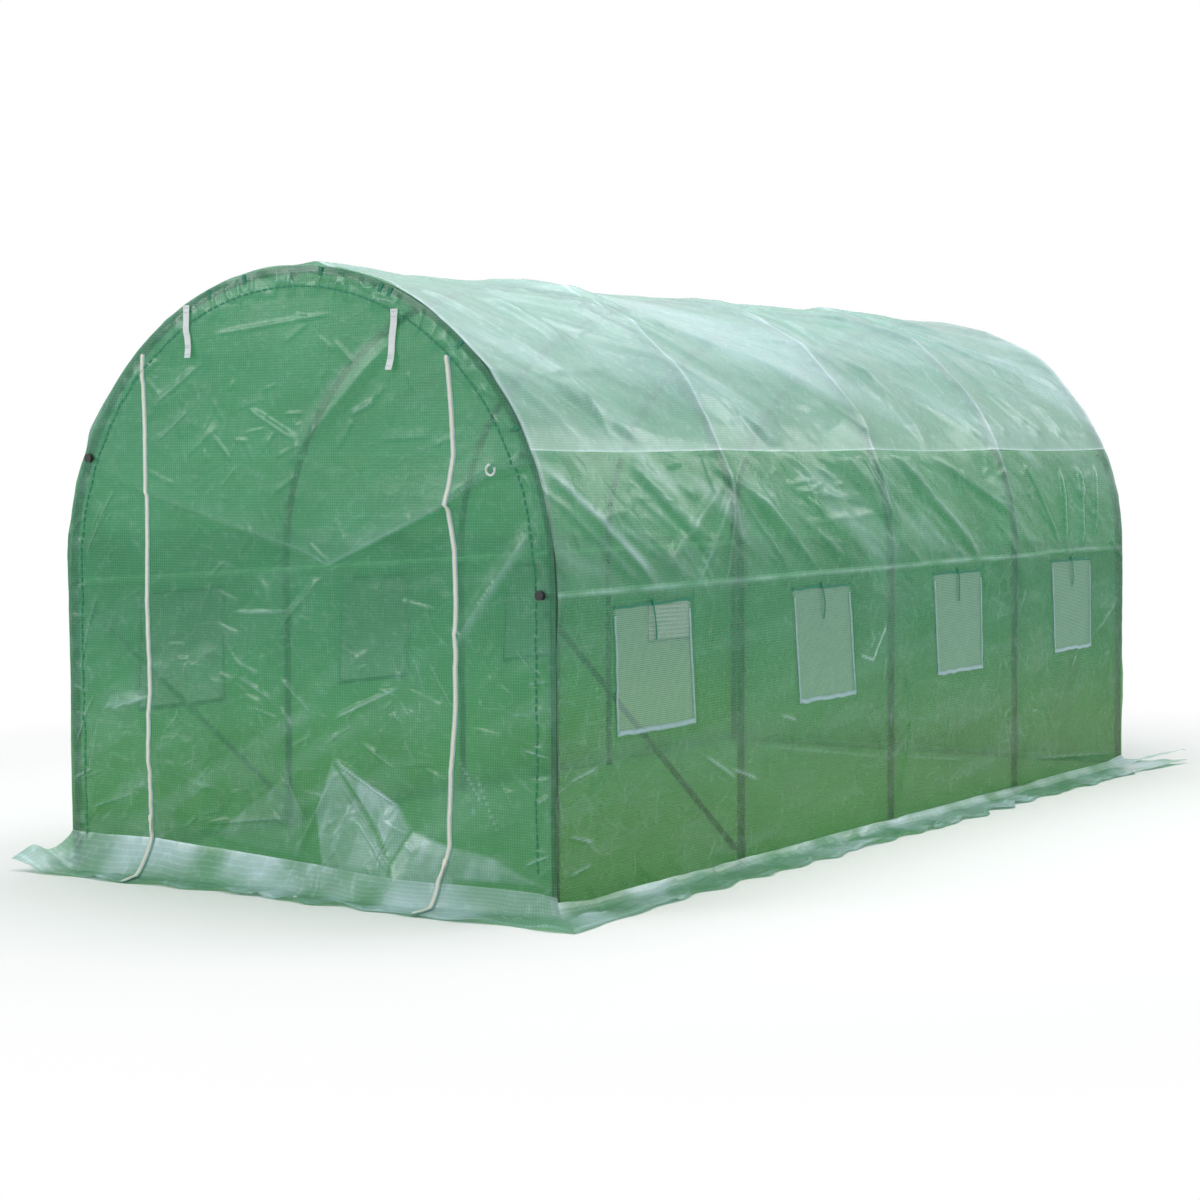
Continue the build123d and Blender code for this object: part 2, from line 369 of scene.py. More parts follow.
finishes = {
    # steel: the galvanised tube painted dark as shade, as it stands backlit behind the film; for the hoops
    # and the right brace
    "shadedSteel": {"dark": (0.09, 0.13, 0.11), "light": (0.18, 0.22, 0.20), "metal": 0.4,
              "scale": 14.0, "rough": 0.42, "bump": 0.15, "grain": 300.0},
    # zinc: the plain galvanised tone
    "zinc": {"dark": (0.36, 0.43, 0.38), "light": (0.48, 0.55, 0.50),
             "scale": 14.0, "rough": 0.42, "bump": 0.15, "grain": 300.0},
    # purlin: the same galvanised tube painted near white as lit
    "purlin": {"dark": (0.82, 0.82, 0.77), "light": (0.95, 0.94, 0.90),
               "scale": 12.0, "rough": 0.4, "bump": 0.12, "grain": 300.0},
    "black": {"dark": (0.012, 0.014, 0.014), "light": (0.03, 0.034, 0.033),
              "scale": 60.0, "rough": 0.5, "bump": 0.2, "grain": 900.0},
    "white": {"dark": (0.70, 0.74, 0.76), "light": (0.86, 0.89, 0.89),
              "scale": 40.0, "rough": 0.55, "bump": 0.3, "grain": 1400.0},
    "cream": {"dark": (0.88, 0.87, 0.72), "light": (0.96, 0.95, 0.85),
              "scale": 30.0, "rough": 0.5, "bump": 0.3, "grain": 1200.0},
    "tape": {"dark": (0.22, 0.42, 0.46), "light": (0.56, 0.73, 0.77),
             "scale": 90.0, "rough": 0.6, "bump": 0.35, "grain": 1500.0},
    "mesh": {"dark": (0.18, 0.36, 0.26), "light": (0.29, 0.48, 0.37),
             "scale": 30.0, "rough": 0.5, "bump": 0.1, "grain": 900.0},
    "green": {"dark": (0.006, 0.15, 0.08), "light": (0.015, 0.26, 0.15),
              "scale": 50.0, "rough": 0.6, "bump": 0.3, "grain": 1300.0},
}
film = makeFilm("film", filmLook)
endFilm = makeFilm("endFilm", endLook)
shadedSteel, zinc, litSteel, black, white, cream, tape, strand, green = (
    makePlain(name, look) for name, look in finishes.items()
)
print("materials made")


foldShape = {
    # one side gentle, one steep; how the ends taper, and how pale and wide the crest is
    "gentle": 1.5, "steep": 0.6, "taper": 0.24, "taperWide": 1.6, "taperMost": 0.4,
    "pale": 0.9, "crest": 0.22,
}


def addFolds(lift, hazeAndSheen, first, second, folds, fine=0.006):
    # each fold is a ridge between two points: width, height and how pale its crest is, stress whitening with
    # a painted highlight
    for startA, startB, endA, endB, width, rise, pale in folds:
        length = math.hypot(endA - startA, endB - startB)
        wayA, wayB = (endA - startA) / length, (endB - startB) / length
        along = (first - startA) * wayA + (second - startB) * wayB
        across = (second - startB) * wayA - (first - startA) * wayB
        across = np.where(across > 0, across / foldShape["gentle"], -across / foldShape["steep"])
        near = (along > 0) & (along < length) & (across < width)
        if not near.any():
            continue
        taper = max(foldShape["taper"] * length, foldShape["taperWide"] * width)
        taper = min(taper, foldShape["taperMost"] * length)
        ends = np.clip(np.minimum(along[near], length - along[near]) / taper, 0, 1)
        ends = ends * ends * (3 - 2 * ends)
        crest = 1 - across[near] / width
        lift[near] += rise * ends * crest * crest * (2 - crest)
        crestWide = max(foldShape["crest"] * width, fine)
        # a painted highlight along the crest, with some stress whitening
        hazeAndSheen[near] += foldShape["pale"] * pale * ends * np.clip(1 - across[near] / crestWide, 0, 1)


def randomFolds(seed, count, spanA, spanB, lengths, widths, rises, pale, lean=None):
    dice = np.random.default_rng(seed)
    folds = []
    for _ in range(count):
        midA, midB = dice.uniform(*spanA), dice.uniform(*spanB)
        length = dice.uniform(*lengths)
        turn = dice.uniform(0, math.pi) if lean is None else dice.normal(*lean)
        stepA, stepB = math.cos(turn) * length / 2, math.sin(turn) * length / 2
        shape = (dice.uniform(*widths), dice.uniform(*rises), dice.uniform(*pale))
        folds.append((midA - stepA, midB - stepB, midA + stepA, midB + stepB, *shape))
    return folds


def bunches(seed, places, count, reach, lengths, widths, rises, pale):
    # short hard crinkles, gathered in bunches that each run roughly one way
    folds = []
    for step, (midA, midB, turn) in enumerate(places):
        spanA, spanB = (midA - reach, midA + reach), (midB - reach, midB + reach)
        folds += randomFolds(seed + step, count, spanA, spanB, lengths, widths, rises, pale, (turn, 0.4))
    return folds


def scatter(seed, count, spanA, spanB):
    # places for bunches, each with the way it runs
    dice = np.random.default_rng(seed)
    return [(dice.uniform(*spanA), dice.uniform(*spanB), dice.uniform(0, math.pi)) for _ in range(count)]


def ripple(seed, first, second, waves, size):
    dice = np.random.default_rng(seed)
    total = np.zeros(np.broadcast(first, second).shape)
    for _ in range(waves):
        pace = dice.uniform(5, 16)
        turn = dice.uniform(0, 2 * math.pi)
        total += np.sin(pace * (first * math.cos(turn) + second * math.sin(turn)) + dice.uniform(0, 6.28))
    return size * total / math.sqrt(waves)


tableSize = 128  # rows and columns of a noise table, then it repeats


def latticeNoise(seed, first, second, pitch):
    # smooth noise between -1 and 1, about one swell for each pitch
    table = np.random.default_rng(seed).uniform(-1, 1, (tableSize, tableSize))
    a, b = first / pitch, second / pitch
    wholeA, wholeB = np.floor(a).astype(int), np.floor(b).astype(int)
    a, b = a - wholeA, b - wholeB
    a, b = a**3 * (a * (6 * a - 15) + 10), b**3 * (b * (6 * b - 15) + 10)
    rowA, nextA = wholeA % tableSize, (wholeA + 1) % tableSize
    rowB, nextB = wholeB % tableSize, (wholeB + 1) % tableSize
    low = table[rowA, rowB] * (1 - a) + table[nextA, rowB] * a
    high = table[rowA, nextB] * (1 - a) + table[nextA, nextB] * a
    return low * (1 - b) + high * b


def facets(seed, first, second, pitch):
    # distance to the nearest and the next of scattered points, and the nearest one's own number
    dice = np.random.default_rng(seed)
    jitter = dice.uniform(0.08, 0.92, (2, tableSize, tableSize))
    number = dice.uniform(0, 1, (tableSize, tableSize))
    a, b = first / pitch, second / pitch
    wholeA, wholeB = np.floor(a).astype(int), np.floor(b).astype(int)
    nearest, nextOne, own = np.full_like(a, 9.0), np.full_like(a, 9.0), np.zeros_like(a)
    for stepA in (-1, 0, 1):
        for stepB in (-1, 0, 1):
            row, column = (wholeA + stepA) % tableSize, (wholeB + stepB) % tableSize
            pointA = wholeA + stepA + jitter[0, row, column]
            pointB = wholeB + stepB + jitter[1, row, column]
            far = np.hypot(pointA - a, pointB - b)
            nextOne = np.minimum(nextOne, np.maximum(far, nearest))
            own = np.where(far < nearest, number[row, column], own)
            nearest = np.minimum(nearest, far)
    return nearest, nextOne, own


def leaned(first, second, turn, stretch):
    # turned so that the first axis runs along the pull, and drawn out that way
    along = first * math.cos(turn) + second * math.sin(turn)
    across = second * math.cos(turn) - first * math.sin(turn)
    return along / stretch, across


crumpleLook = {
    # how patchy it is, then which creases are pale and how sharp those are
    "patch": 0.55, "even": 0.6, "uneven": 0.9, "span": (0.1, 1.2), "paleOver": 0.7, "sharp": 9,
}


def crumple(seed, first, second, sizes):
    # facets that meet in straight sharp creases, in patches; ridges and valleys by turns
    lift, hazeAndSheen = np.zeros_like(first), np.zeros_like(first)
    swell = latticeNoise(seed + 7, first, second, crumpleLook["patch"])
    patch = np.clip(crumpleLook["even"] + crumpleLook["uneven"] * swell, *crumpleLook["span"])
    for step, (pitch, height, pale) in enumerate(sizes):
        nearest, nextOne, own = facets(seed + 60 + step, first, second, pitch)
        lift += height * patch * nearest**2 * (1 if step % 2 == 0 else -1)
        crease = np.clip(1 - (nextOne - nearest) * crumpleLook["sharp"], 0, 1)
        # painted glints along some of the creases
        hazeAndSheen += pale * patch * (own > crumpleLook["paleOver"]) * crease
    return lift, hazeAndSheen


def streaks(seed, first, second, turn, pitch, stretch):
    # painted sheen: pale drawn-out stripes along the pull of the film
    along, across = leaned(first, second, turn, stretch)
    return np.clip(latticeNoise(seed, along, across, pitch), 0, 1)


def baySag(along):
    # nothing at a hoop, one in the middle of a bay
    share = (along - hoopPlaces[0]) / (hoopPlaces[1] - hoopPlaces[0])
    share = np.clip(share, 0, 4)
    share = share - np.floor(share)
    return 4 * share * (1 - share)


def spread(stops, pitch):
    # even steps of about one pitch that land on every stop
    places = [np.array([stops[0]])]
    for low, high in zip(stops[:-1], stops[1:]):
        steps = max(1, round((high - low) / pitch))
        places.append(np.linspace(low, high, steps + 1)[1:])
    return np.concatenate(places)


def hoopSheen(along):
    # painted sheen along each hoop, where the film lies on it
    return sum(np.exp(-(((along - place) / coverLook["hoopWide"]) ** 2)) for place in hoopPlaces)


coverSag = {"ridge": 0.005, "roof": 0.016, "shoulder": 0.016, "haunch": 0.014, "side": 0.004}
sideRun = 0.97  # how far up the wall the side purlin holds the film
purlinRun = 0.972  # and where its pale line is painted: a painted highlight of the purlin seen through the film


def sagBetween(share, start, middle, end):
    return start * (1 - share) + middle * 4 * share * (1 - share) + end * share


def coverLift(along, run):
    # how far the film lies outside the hoops' line between two hoops (negative is in)
    above = np.clip((run - shoulderRun) / (ridgeRun - shoulderRun), 0, 1)
    roof = sagBetween(above, coverSag["shoulder"], coverSag["roof"], coverSag["ridge"])
    below = np.clip((shoulderRun - run) / (shoulderRun - sideRun), 0, 1)
    haunch = sagBetween(below, coverSag["shoulder"], coverSag["haunch"], coverSag["side"])
    wall = coverSag["side"] * np.clip(run / sideRun, 0, 1)
    sag = np.where(run >= shoulderRun, roof, np.where(run >= sideRun, haunch, wall))
    return -sag * baySag(along)


def coverPoints(side, along, run, lift):
    # run goes up the wall from the ground and on round the arch to the ridge
    angle = np.clip((run - tunnel["springing"]) / filmRadius, 0, None)
    outX, outZ = np.cos(angle), np.sin(angle)
    high = np.minimum(run, tunnel["springing"])
    reach = filmRadius + lift
    return np.stack([side * reach * outX, along, high + reach * outZ], axis=-1)


window = {
    "width": 0.42, "height": 0.39, "head": 0.92,
    "pull": 0.2,  # its slack pulls on the film this far round it
    "leftSlack": -0.7,  # the left ones hang the other way, and less
}
window["sill"] = window["head"] - window["height"]
windowSlack = [
    # how far each corner has dropped or slipped: top front, top rear, low front, low rear
    ((-0.03, -0.004), (-0.008, 0.0), (-0.018, -0.004), (0.026, -0.004)),
    ((0.0, 0.0), (-0.01, 0.0), (0.044, 0.0), (0.038, 0.0)),
    ((-0.004, 0.008), (-0.006, 0.006), (0.03, 0.018), (0.008, 0.02)),
    ((0.01, 0.016), (-0.008, 0.012), (0.038, 0.032), (0.0, 0.036)),
]


def windowSlip(side, along, run):
    # the film hangs a little askew round every window
    slipA, slipB = np.zeros_like(along), np.zeros_like(along)
    slack = 1 if side > 0 else window["leftSlack"]
    for bay, place in enumerate(bayPlaces):
        corners = np.array(windowSlack[bay if side > 0 else 3 - bay]) * slack
        u = (along - place) / window["width"] + 0.5
        v = (run - window["sill"]) / window["height"]
        inU, inV = np.clip(u, 0, 1), np.clip(v, 0, 1)
        far = np.hypot((u - inU) * window["width"], (v - inV) * window["height"])
        hold = np.clip(1 - far / window["pull"], 0, 1) ** 2
        for axis, slip in ((0, slipA), (1, slipB)):
            top = corners[0, axis] * (1 - inU) + corners[1, axis] * inU
            low = corners[2, axis] * (1 - inU) + corners[3, axis] * inU
            slip += hold * (low * (1 - inV) + top * inV)
    return slipA, slipB


# listed folds: start and end along the wall and up it, width, rise and paleness
wallFolds = {
    1: [
        (-2.27, 1.40, -1.61, 0.95, 0.12, 0.014, 0.60),
        (-2.21, 1.27, -1.72, 0.97, 0.05, 0.008, 0.22),
        (-1.11, 1.30, -1.47, 0.93, 0.05, 0.007, 0.26),
        (-1.12, 1.28, -1.26, 0.93, 0.04, 0.006, 0.22),
        (-1.14, 1.32, -1.64, 1.02, 0.06, 0.006, 0.20),
        (-1.10, 1.27, -0.78, 0.98, 0.03, 0.006, 0.30),
        (-1.03, 1.30, -0.56, 0.97, 0.06, 0.013, 0.30),
        (0.14, 1.41, 0.78, 0.97, 0.075, 0.018, 0.38),
        (0.50, 1.40, 1.12, 1.14, 0.07, 0.013, 0.25),
        (1.33, 1.38, 1.58, 0.98, 0.05, 0.012, 0.25),
        (1.73, 1.36, 1.61, 0.96, 0.04, 0.014, 0.45),
        (1.93, 1.37, 1.78, 0.95, 0.035, 0.015, 0.45),
        (2.09, 1.37, 1.93, 1.0, 0.035, 0.013, 0.40),
        (-0.12, 1.42, 0.02, 1.12, 0.025, 0.009, 0.10),
        (-0.04, 1.41, 0.075, 1.10, 0.02, 0.009, 0.10),
        (-0.72, 1.146, 0.04, 1.18, 0.022, 0.004, 0.20),
        (-0.70, 1.28, -0.15, 1.22, 0.03, 0.005, 0.20),
        (-1.39, 0.407, -1.17, 0.302, 0.022, 0.007, 0.75),
        (-1.22, 0.344, -1.02, 0.284, 0.016, 0.006, 0.70),
        (-0.19, 0.62, -0.065, 0.77, 0.018, 0.007, 0.95),
        (-0.29, 0.66, -0.16, 0.632, 0.016, 0.006, 0.80),
        (-0.88, 0.492, -0.76, 0.463, 0.012, 0.005, 0.60),
        (1.66, 0.45, 1.78, 0.56, 0.016, 0.006, 0.50),
        (1.93, 0.59, 2.2, 0.75, 0.02, 0.006, 0.40),
        (-1.05, 0.405, 0.02, 0.255, 0.03, 0.004, 0.22),
        (0.0, 0.262, 0.66, 0.185, 0.03, 0.004, 0.25),
        (1.2, 0.132, 2.2, 0.06, 0.03, 0.005, 0.30),
        (0.08, 0.565, 0.155, 0.43, 0.022, 0.010, 0.05),
        (0.156, 0.44, 0.005, 0.05, 0.022, 0.010, 0.05),
        (-2.2, 0.40, -2.02, 0.43, 0.02, 0.007, 0.60),
        (-2.2, 0.24, -2.05, 0.20, 0.018, 0.007, 0.60),
        (-2.2, 0.115, -2.06, 0.14, 0.02, 0.008, 0.60),
    ]
}
foldLooks = {
    # lengths, widths, rises and paleness that random folds are drawn from
    "crinkle": ((0.03, 0.12), (0.007, 0.012), (0.002, 0.0045), (0.0, 0.30)),
    "wallFew": ((0.1, 0.35), (0.012, 0.025), (0.004, 0.008), (0.2, 0.7)),
    "wallUpper": ((0.05, 0.2), (0.009, 0.018), (0.001, 0.004), (0.0, 0.2)),
    "coverSmall": ((0.05, 0.22), (0.010, 0.028), (0.001, 0.0035), (0.0, 0.08)),
    "coverLong": ((0.3, 0.65), (0.04, 0.08), (0.002, 0.006), (0.0, 0.10)),
    "coverShort": ((0.08, 0.3), (0.015, 0.03), (0.0015, 0.004), (0.0, 0.08)),
    "roofLong": ((0.35, 1.0), (0.04, 0.11), (0.006, 0.016), (0.0, 0.10)),
    "roofShort": ((0.2, 0.6), (0.015, 0.04), (0.002, 0.006), (0.0, 0.10)),
    "roofSmall": ((0.06, 0.25), (0.012, 0.03), (0.0008, 0.0025), (0.0, 0.10)),
    "frontUpper": ((0.03, 0.12), (0.007, 0.012), (0.0008, 0.002), (0.0, 0.14)),
    "frontLow": ((0.05, 0.20), (0.012, 0.026), (0.0015, 0.0045), (0.0, 0.12)),
    "frontHigh": ((0.05, 0.22), (0.012, 0.028), (0.001, 0.003), (0.0, 0.1)),
    "rear": ((0.06, 0.3), (0.014, 0.032), (0.0012, 0.005), (0.0, 0.3)),
    "skirt": ((0.03, 0.14), (0.008, 0.02), (0.002, 0.005), (0.0, 0.3)),
}
crumpleSizes = {
    # pitch, height and paleness (painted crease glints) of the crumpled faces, widest first
    "wall": [(0.30, 0.010, 0.05), (0.16, 0.006, 0.12), (0.08, 0.0035, 0.14)],
    "haunch": [(0.16, 0.020, 0.05), (0.07, 0.008, 0.08)],
    "roof": [(0.26, 0.022, 0.02), (0.11, 0.008, 0.04), (0.05, 0.002, 0.04)],
    "front": [(0.30, 0.018, 0.03), (0.15, 0.010, 0.08), (0.075, 0.005, 0.08)],
    "rear": [(0.34, 0.034, 0.03), (0.16, 0.014, 0.08), (0.075, 0.005, 0.06)],
    "skirt": [(0.13, 0.014, 0.15), (0.06, 0.007, 0.2)],
}
wallBunches = {
    1: [
        (-2.12, 0.42, 0.3), (-2.14, 0.2, 2.6), (-2.1, 0.66, 0.5), (-1.24, 0.36, 2.7), (-1.35, 0.2, 0.4),
        (-0.6, 0.44, 2.5), (-0.2, 0.66, 0.6), (0.06, 0.3, 1.3), (0.9, 0.4, 0.5), (1.25, 0.3, 2.4),
        (1.75, 0.46, 0.7), (2.1, 0.62, 0.6), (2.05, 0.2, 2.5), (-0.1, 0.84, 1.2), (1.14, 0.7, 1.4),
    ],
    -1: scatter(431, 14, (-2.1, 2.1), (0.15, 0.85)),
}
wallFolds[-1] = [(0.05 - a, b, 0.05 - c, d, *shape) for a, b, c, d, *shape in wallFolds[1][:8]]
wallFolds[-1] += randomFolds(41, 16, (-2.1, 2.1), (0.1, 0.9), *foldLooks["wallFew"])
coverFolds, roofFolds = {}, {}
coverSpan = (-2.2, 2.2)
for side, places in wallBunches.items():
    wallFolds[side] += bunches(441, places, 4, 0.12, *foldLooks["crinkle"])
    upperPlaces = [(a, b, -0.6 * side) for a, b, _ in scatter(470 + side, 16, (-2.1, 2.1), (1.02, 1.38))]
    wallFolds[side] += bunches(481, upperPlaces, 6, 0.12, *foldLooks["wallUpper"])
    # the long ones slant down to the rear on the right, and down to the front on the left
    coverFolds[side] = [
        *randomFolds(11 + side, 240, coverSpan, (0.05, 1.4), *foldLooks["coverSmall"]),
        *randomFolds(24 + side, 26, (-2.1, 2.1), (1.02, 1.36), *foldLooks["coverLong"], (-0.60 * side, 0.12)),
        *randomFolds(21 + side, 45, coverSpan, (1.0, 1.4), *foldLooks["coverShort"], (-0.7 * side, 0.4)),
    ]
    roofFolds[side] = [
        *randomFolds(5 + side, 40, coverSpan, (1.45, 2.45), *foldLooks["roofLong"], (-0.65 * side, 0.25)),
        *randomFolds(8 + side, 60, coverSpan, (1.45, 2.45), *foldLooks["roofShort"], (-0.65 * side, 0.4)),
        *randomFolds(51 + side, 150, coverSpan, (1.45, 2.5), *foldLooks["roofSmall"]),
    ]
kick = {"wall": 0.032, "corner": 0.045}  # where the film leaves the wall for the skirt


def skirtTop(along, half, middle):
    # the kick runs over to the corner height within 0.2 m of each end
    near = np.clip((half - np.abs(along)) / 0.2, 0, 1)
    return kick["corner"] + (middle - kick["corner"]) * near * near * (3 - 2 * near)


coverLook = {
    # paleness of the painted sheen stripes and of the painted hoop and purlin lines, then how loosely the
    # film lies
    "streaks": 0.26, "fineStreaks": 0.14, "lowStreaks": 0.10, "hoops": 0.34, "hoopWide": 0.008,
    "purlins": {1: 0.40, -1: 0.9}, "purlinWide": 0.008,
    "loose": 0.0016, "ripple": 0.0016, "atWindows": 0.25, "atShoulder": 0.15, "lean": 0.6, "drawn": 3.0,
}


def coverSheet(side, along, run):
    # points, flat places and paleness of the film from the ground up to the shoulder
    flatA, flatB = np.meshgrid(along, run, indexing="ij")
    foot = skirtTop(flatA, filmEnd, kick["wall"])
    runs = np.where(flatB < window["sill"], foot + flatB * (window["sill"] - foot) / window["sill"], flatB)
    calm = np.ones_like(flatA)  # little crumpling over the windows
    for place in bayPlaces:
        beside = np.abs(flatA - place) < window["width"] / 2 + 0.025
        level = (flatB > window["sill"] - 0.03) & (flatB < window["head"] + 0.03)
        calm[beside & level] = coverLook["atWindows"]
    lift, hazeAndSheen = np.zeros_like(flatA), np.zeros_like(flatA)
    addFolds(lift, hazeAndSheen, flatA, runs, wallFolds[side], 0.007)
    addFolds(lift, hazeAndSheen, flatA, runs, coverFolds[side])
    upper = np.clip((runs - 0.95) / 0.1, 0, 1)
    crumpled = crumple(300 + side, flatA, runs, crumpleSizes["wall"])
    slant = leaned(flatA, runs, -coverLook["lean"] * side, coverLook["drawn"])
    drawn = crumple(310 + side, *slant, crumpleSizes["haunch"])
    crumpled = [low * (1 - 0.7 * upper) + high * upper for low, high in zip(crumpled, drawn)]
    lift += crumpled[0] + coverLook["loose"] + ripple(31 + side, flatA, runs, 7, coverLook["ripple"])
    lift *= calm
    hazeAndSheen = (hazeAndSheen + crumpled[1]) * calm + 0.03 * np.clip((runs - 0.95) / 0.4, 0, 1)
    # painted sheen stripes, up on the haunch and lower down the wall
    hazeAndSheen += coverLook["streaks"] * upper * streaks(316 + side, flatA, runs, -0.6 * side, 0.085, 4.0)
    hazeAndSheen += coverLook["fineStreaks"] * upper * streaks(318 + side, flatA, runs, -0.5 * side, 0.03, 5.0)
    lower = (1 - upper) * calm
    hazeAndSheen += coverLook["lowStreaks"] * lower * streaks(326 + side, flatA, runs, 0.12 * side, 0.07, 5.0)
    # painted sheen along each hoop on the haunch
    hazeAndSheen += coverLook["hoops"] * hoopSheen(flatA) * np.clip((runs - 1.05) / 0.25, 0, 1)
    # a painted highlight along the side purlin, where it shows through the film
    purlinSheen = np.exp(-(((runs - purlinRun) / coverLook["purlinWide"]) ** 2))  # and along the side purlin
    hazeAndSheen += coverLook["purlins"][side] * purlinSheen * (0.75 + 0.5 * latticeNoise(380, flatA, runs, 0.12))
    fade = np.clip((shoulderRun - runs) / 0.03, 0, 1)  # the crease itself stays straight
    lift = coverLift(flatA, runs) + lift * (coverLook["atShoulder"] + (1 - coverLook["atShoulder"]) * fade)
    slipA, slipB = windowSlip(side, flatA, runs)
    points = coverPoints(side, flatA + slipA, runs + slipB, lift)
    return points, np.stack([flatA, runs], axis=-1), hazeAndSheen


roofLook = {
    "streaks": 0.22, "fineStreaks": 0.08, "hoops": 0.32, "shoulder": 0.35, "shoulderWide": 0.006,
    # the bleach values are sun bleaching together with a painted sky sheen
    "bleachAndSheenLow": 0.31, "bleachAndSheenMore": 0.23, "fade": 0.09, "drawn": 2.6,
}


def roofSheet(side, along, run):
    # the same from the shoulder up to the ridge
    flatA, runs = np.meshgrid(along, run, indexing="ij")
    lift, hazeAndSheen = np.zeros_like(flatA), np.zeros_like(flatA)
    addFolds(lift, hazeAndSheen, flatA, runs, roofFolds[side])
    slant = leaned(flatA, runs, -coverLook["lean"] * side, roofLook["drawn"])
    crumpled = crumple(320 + side, *slant, crumpleSizes["roof"])
    lift += crumpled[0] + coverLook["loose"] + ripple(61 + side, flatA, runs, 7, coverLook["ripple"])
    hazeAndSheen += crumpled[1]
    fade = np.clip((runs - shoulderRun) / roofLook["fade"], 0, 1)
    fade = fade * np.clip((ridgeRun - runs) / roofLook["fade"], 0, 1)
    fade = np.maximum(fade, coverLook["atShoulder"] * (runs < shoulderRun + 0.03))
    lift = coverLift(flatA, runs) + lift * fade
    # painted sheen stripes along the pull of the film
    hazeAndSheen += roofLook["streaks"] * streaks(330 + side, flatA, runs, -0.5 * side, 0.13, 4.0)
    hazeAndSheen += roofLook["fineStreaks"] * streaks(334 + side, flatA, runs, -0.5 * side, 0.035, 5.0)
    hazeAndSheen *= np.clip((ridgeRun - runs) / 0.3, 0, 1)  # both halves alike at the ridge
    # paler over the whole roof and more so higher up: sun bleaching with a painted sky sheen
    hazeAndSheen += roofLook["bleachAndSheenLow"] + roofLook["bleachAndSheenMore"] * np.clip((runs - shoulderRun) / 0.5, 0, 1)
    # a painted highlight along the shoulder crease, and painted sheen along each hoop
    hazeAndSheen += roofLook["shoulder"] * np.exp(-(((runs - shoulderRun) / roofLook["shoulderWide"]) ** 2))
    hazeAndSheen += roofLook["hoops"] * hoopSheen(flatA)
    return coverPoints(side, flatA, runs, lift), np.stack([flatA, runs], axis=-1), hazeAndSheen


windowStops = sorted([place + side * window["width"] / 2 for place in bayPlaces for side in (-1, 1)])
for side, sideName, pitch in ((1, "right", 0.0070), (-1, "left", 0.0110)):
    along = spread([-filmEnd, *windowStops, filmEnd], pitch)
    run = spread([0.0, window["sill"], window["head"], tunnel["springing"]], pitch)
    midA, midB = (along[1:] + along[:-1]) / 2, (run[1:] + run[:-1]) / 2
    keep = np.ones((len(midA), len(midB)), dtype=bool)
    for place in bayPlaces:
        nearA = np.abs(midA - place) < window["width"] / 2
        keep[np.ix_(nearA, (midB > window["sill"]) & (midB < window["head"]))] = False
    wall = addGrid(sideName + "Wall", *coverSheet(side, along, run), film, keep)
    addPiece(wall, "green_film", sideName + "_wall_film")

    along = spread([-filmEnd, filmEnd], pitch * 1.25)
    run = spread([tunnel["springing"], shoulderRun], pitch * 1.25)
    haunch = addGrid(sideName + "Haunch", *coverSheet(side, along, run), film)
    addPiece(haunch, "green_film", sideName + "_haunch_film")

    along = spread([-filmEnd, filmEnd], pitch * 1.6)
    run = spread([shoulderRun, ridgeRun], pitch * 1.6)
    roof = addGrid(sideName + "Roof", *roofSheet(side, along, run), film)
    addPiece(roof, "green_film", sideName + "_roof_film")
print("main cover laid over the hoops")

front = {
    "zipX": 0.63,  # the zips stand about this far from the middle
    "swagX": [-1.0, -0.932, -0.628, 0.058, 0.151, 0.586, 0.791, 0.934, 1.0],
    "swagZ": [1.385, 1.373, 1.279, 1.086, 1.046, 1.226, 1.349, 1.369, 1.385],
    "swagRise": [0.0, 0.003, 0.008, 0.012, 0.016, 0.024, 0.022, 0.007, 0.0],
    "footX": [-1.0, -0.634, 0.0, 0.406, 0.938, 1.0],
    "footZ": [0.115, 0.122, 0.092, 0.078, 0.068, 0.06],
    "zipZ": [0.0, 0.07, 0.129, 0.185, 0.27, 0.425, 0.62, 0.95, 1.10, 1.232, 1.30, 1.395, 1.55, 1.70, 1.80],
    "leftZip": [-0.634, -0.634, -0.634, -0.634, -0.635, -0.636, -0.633, -0.631,
                -0.628, -0.630, -0.631, -0.633, -0.636, -0.640, -0.640],
    "rightZip": [0.565, 0.582, 0.603, 0.614, 0.608, 0.615, 0.632, 0.644,
                 0.636, 0.612, 0.628, 0.641, 0.628, 0.611, 0.611],
    "flareX": 0.42,  # where the foot of the door stands out furthest
    "flareWide": 0.24,
    "flareHigh": 0.32,
    "flareOut": 0.055,
    "swagFall": 0.17,  # the swag dies away upwards over this height
    # a painted highlight along the swag's edge
    "swagHighlight": 0.22,
    "belly": 0.010,
    "ripple": 0.0018,
    "streaks": 0.14,
}
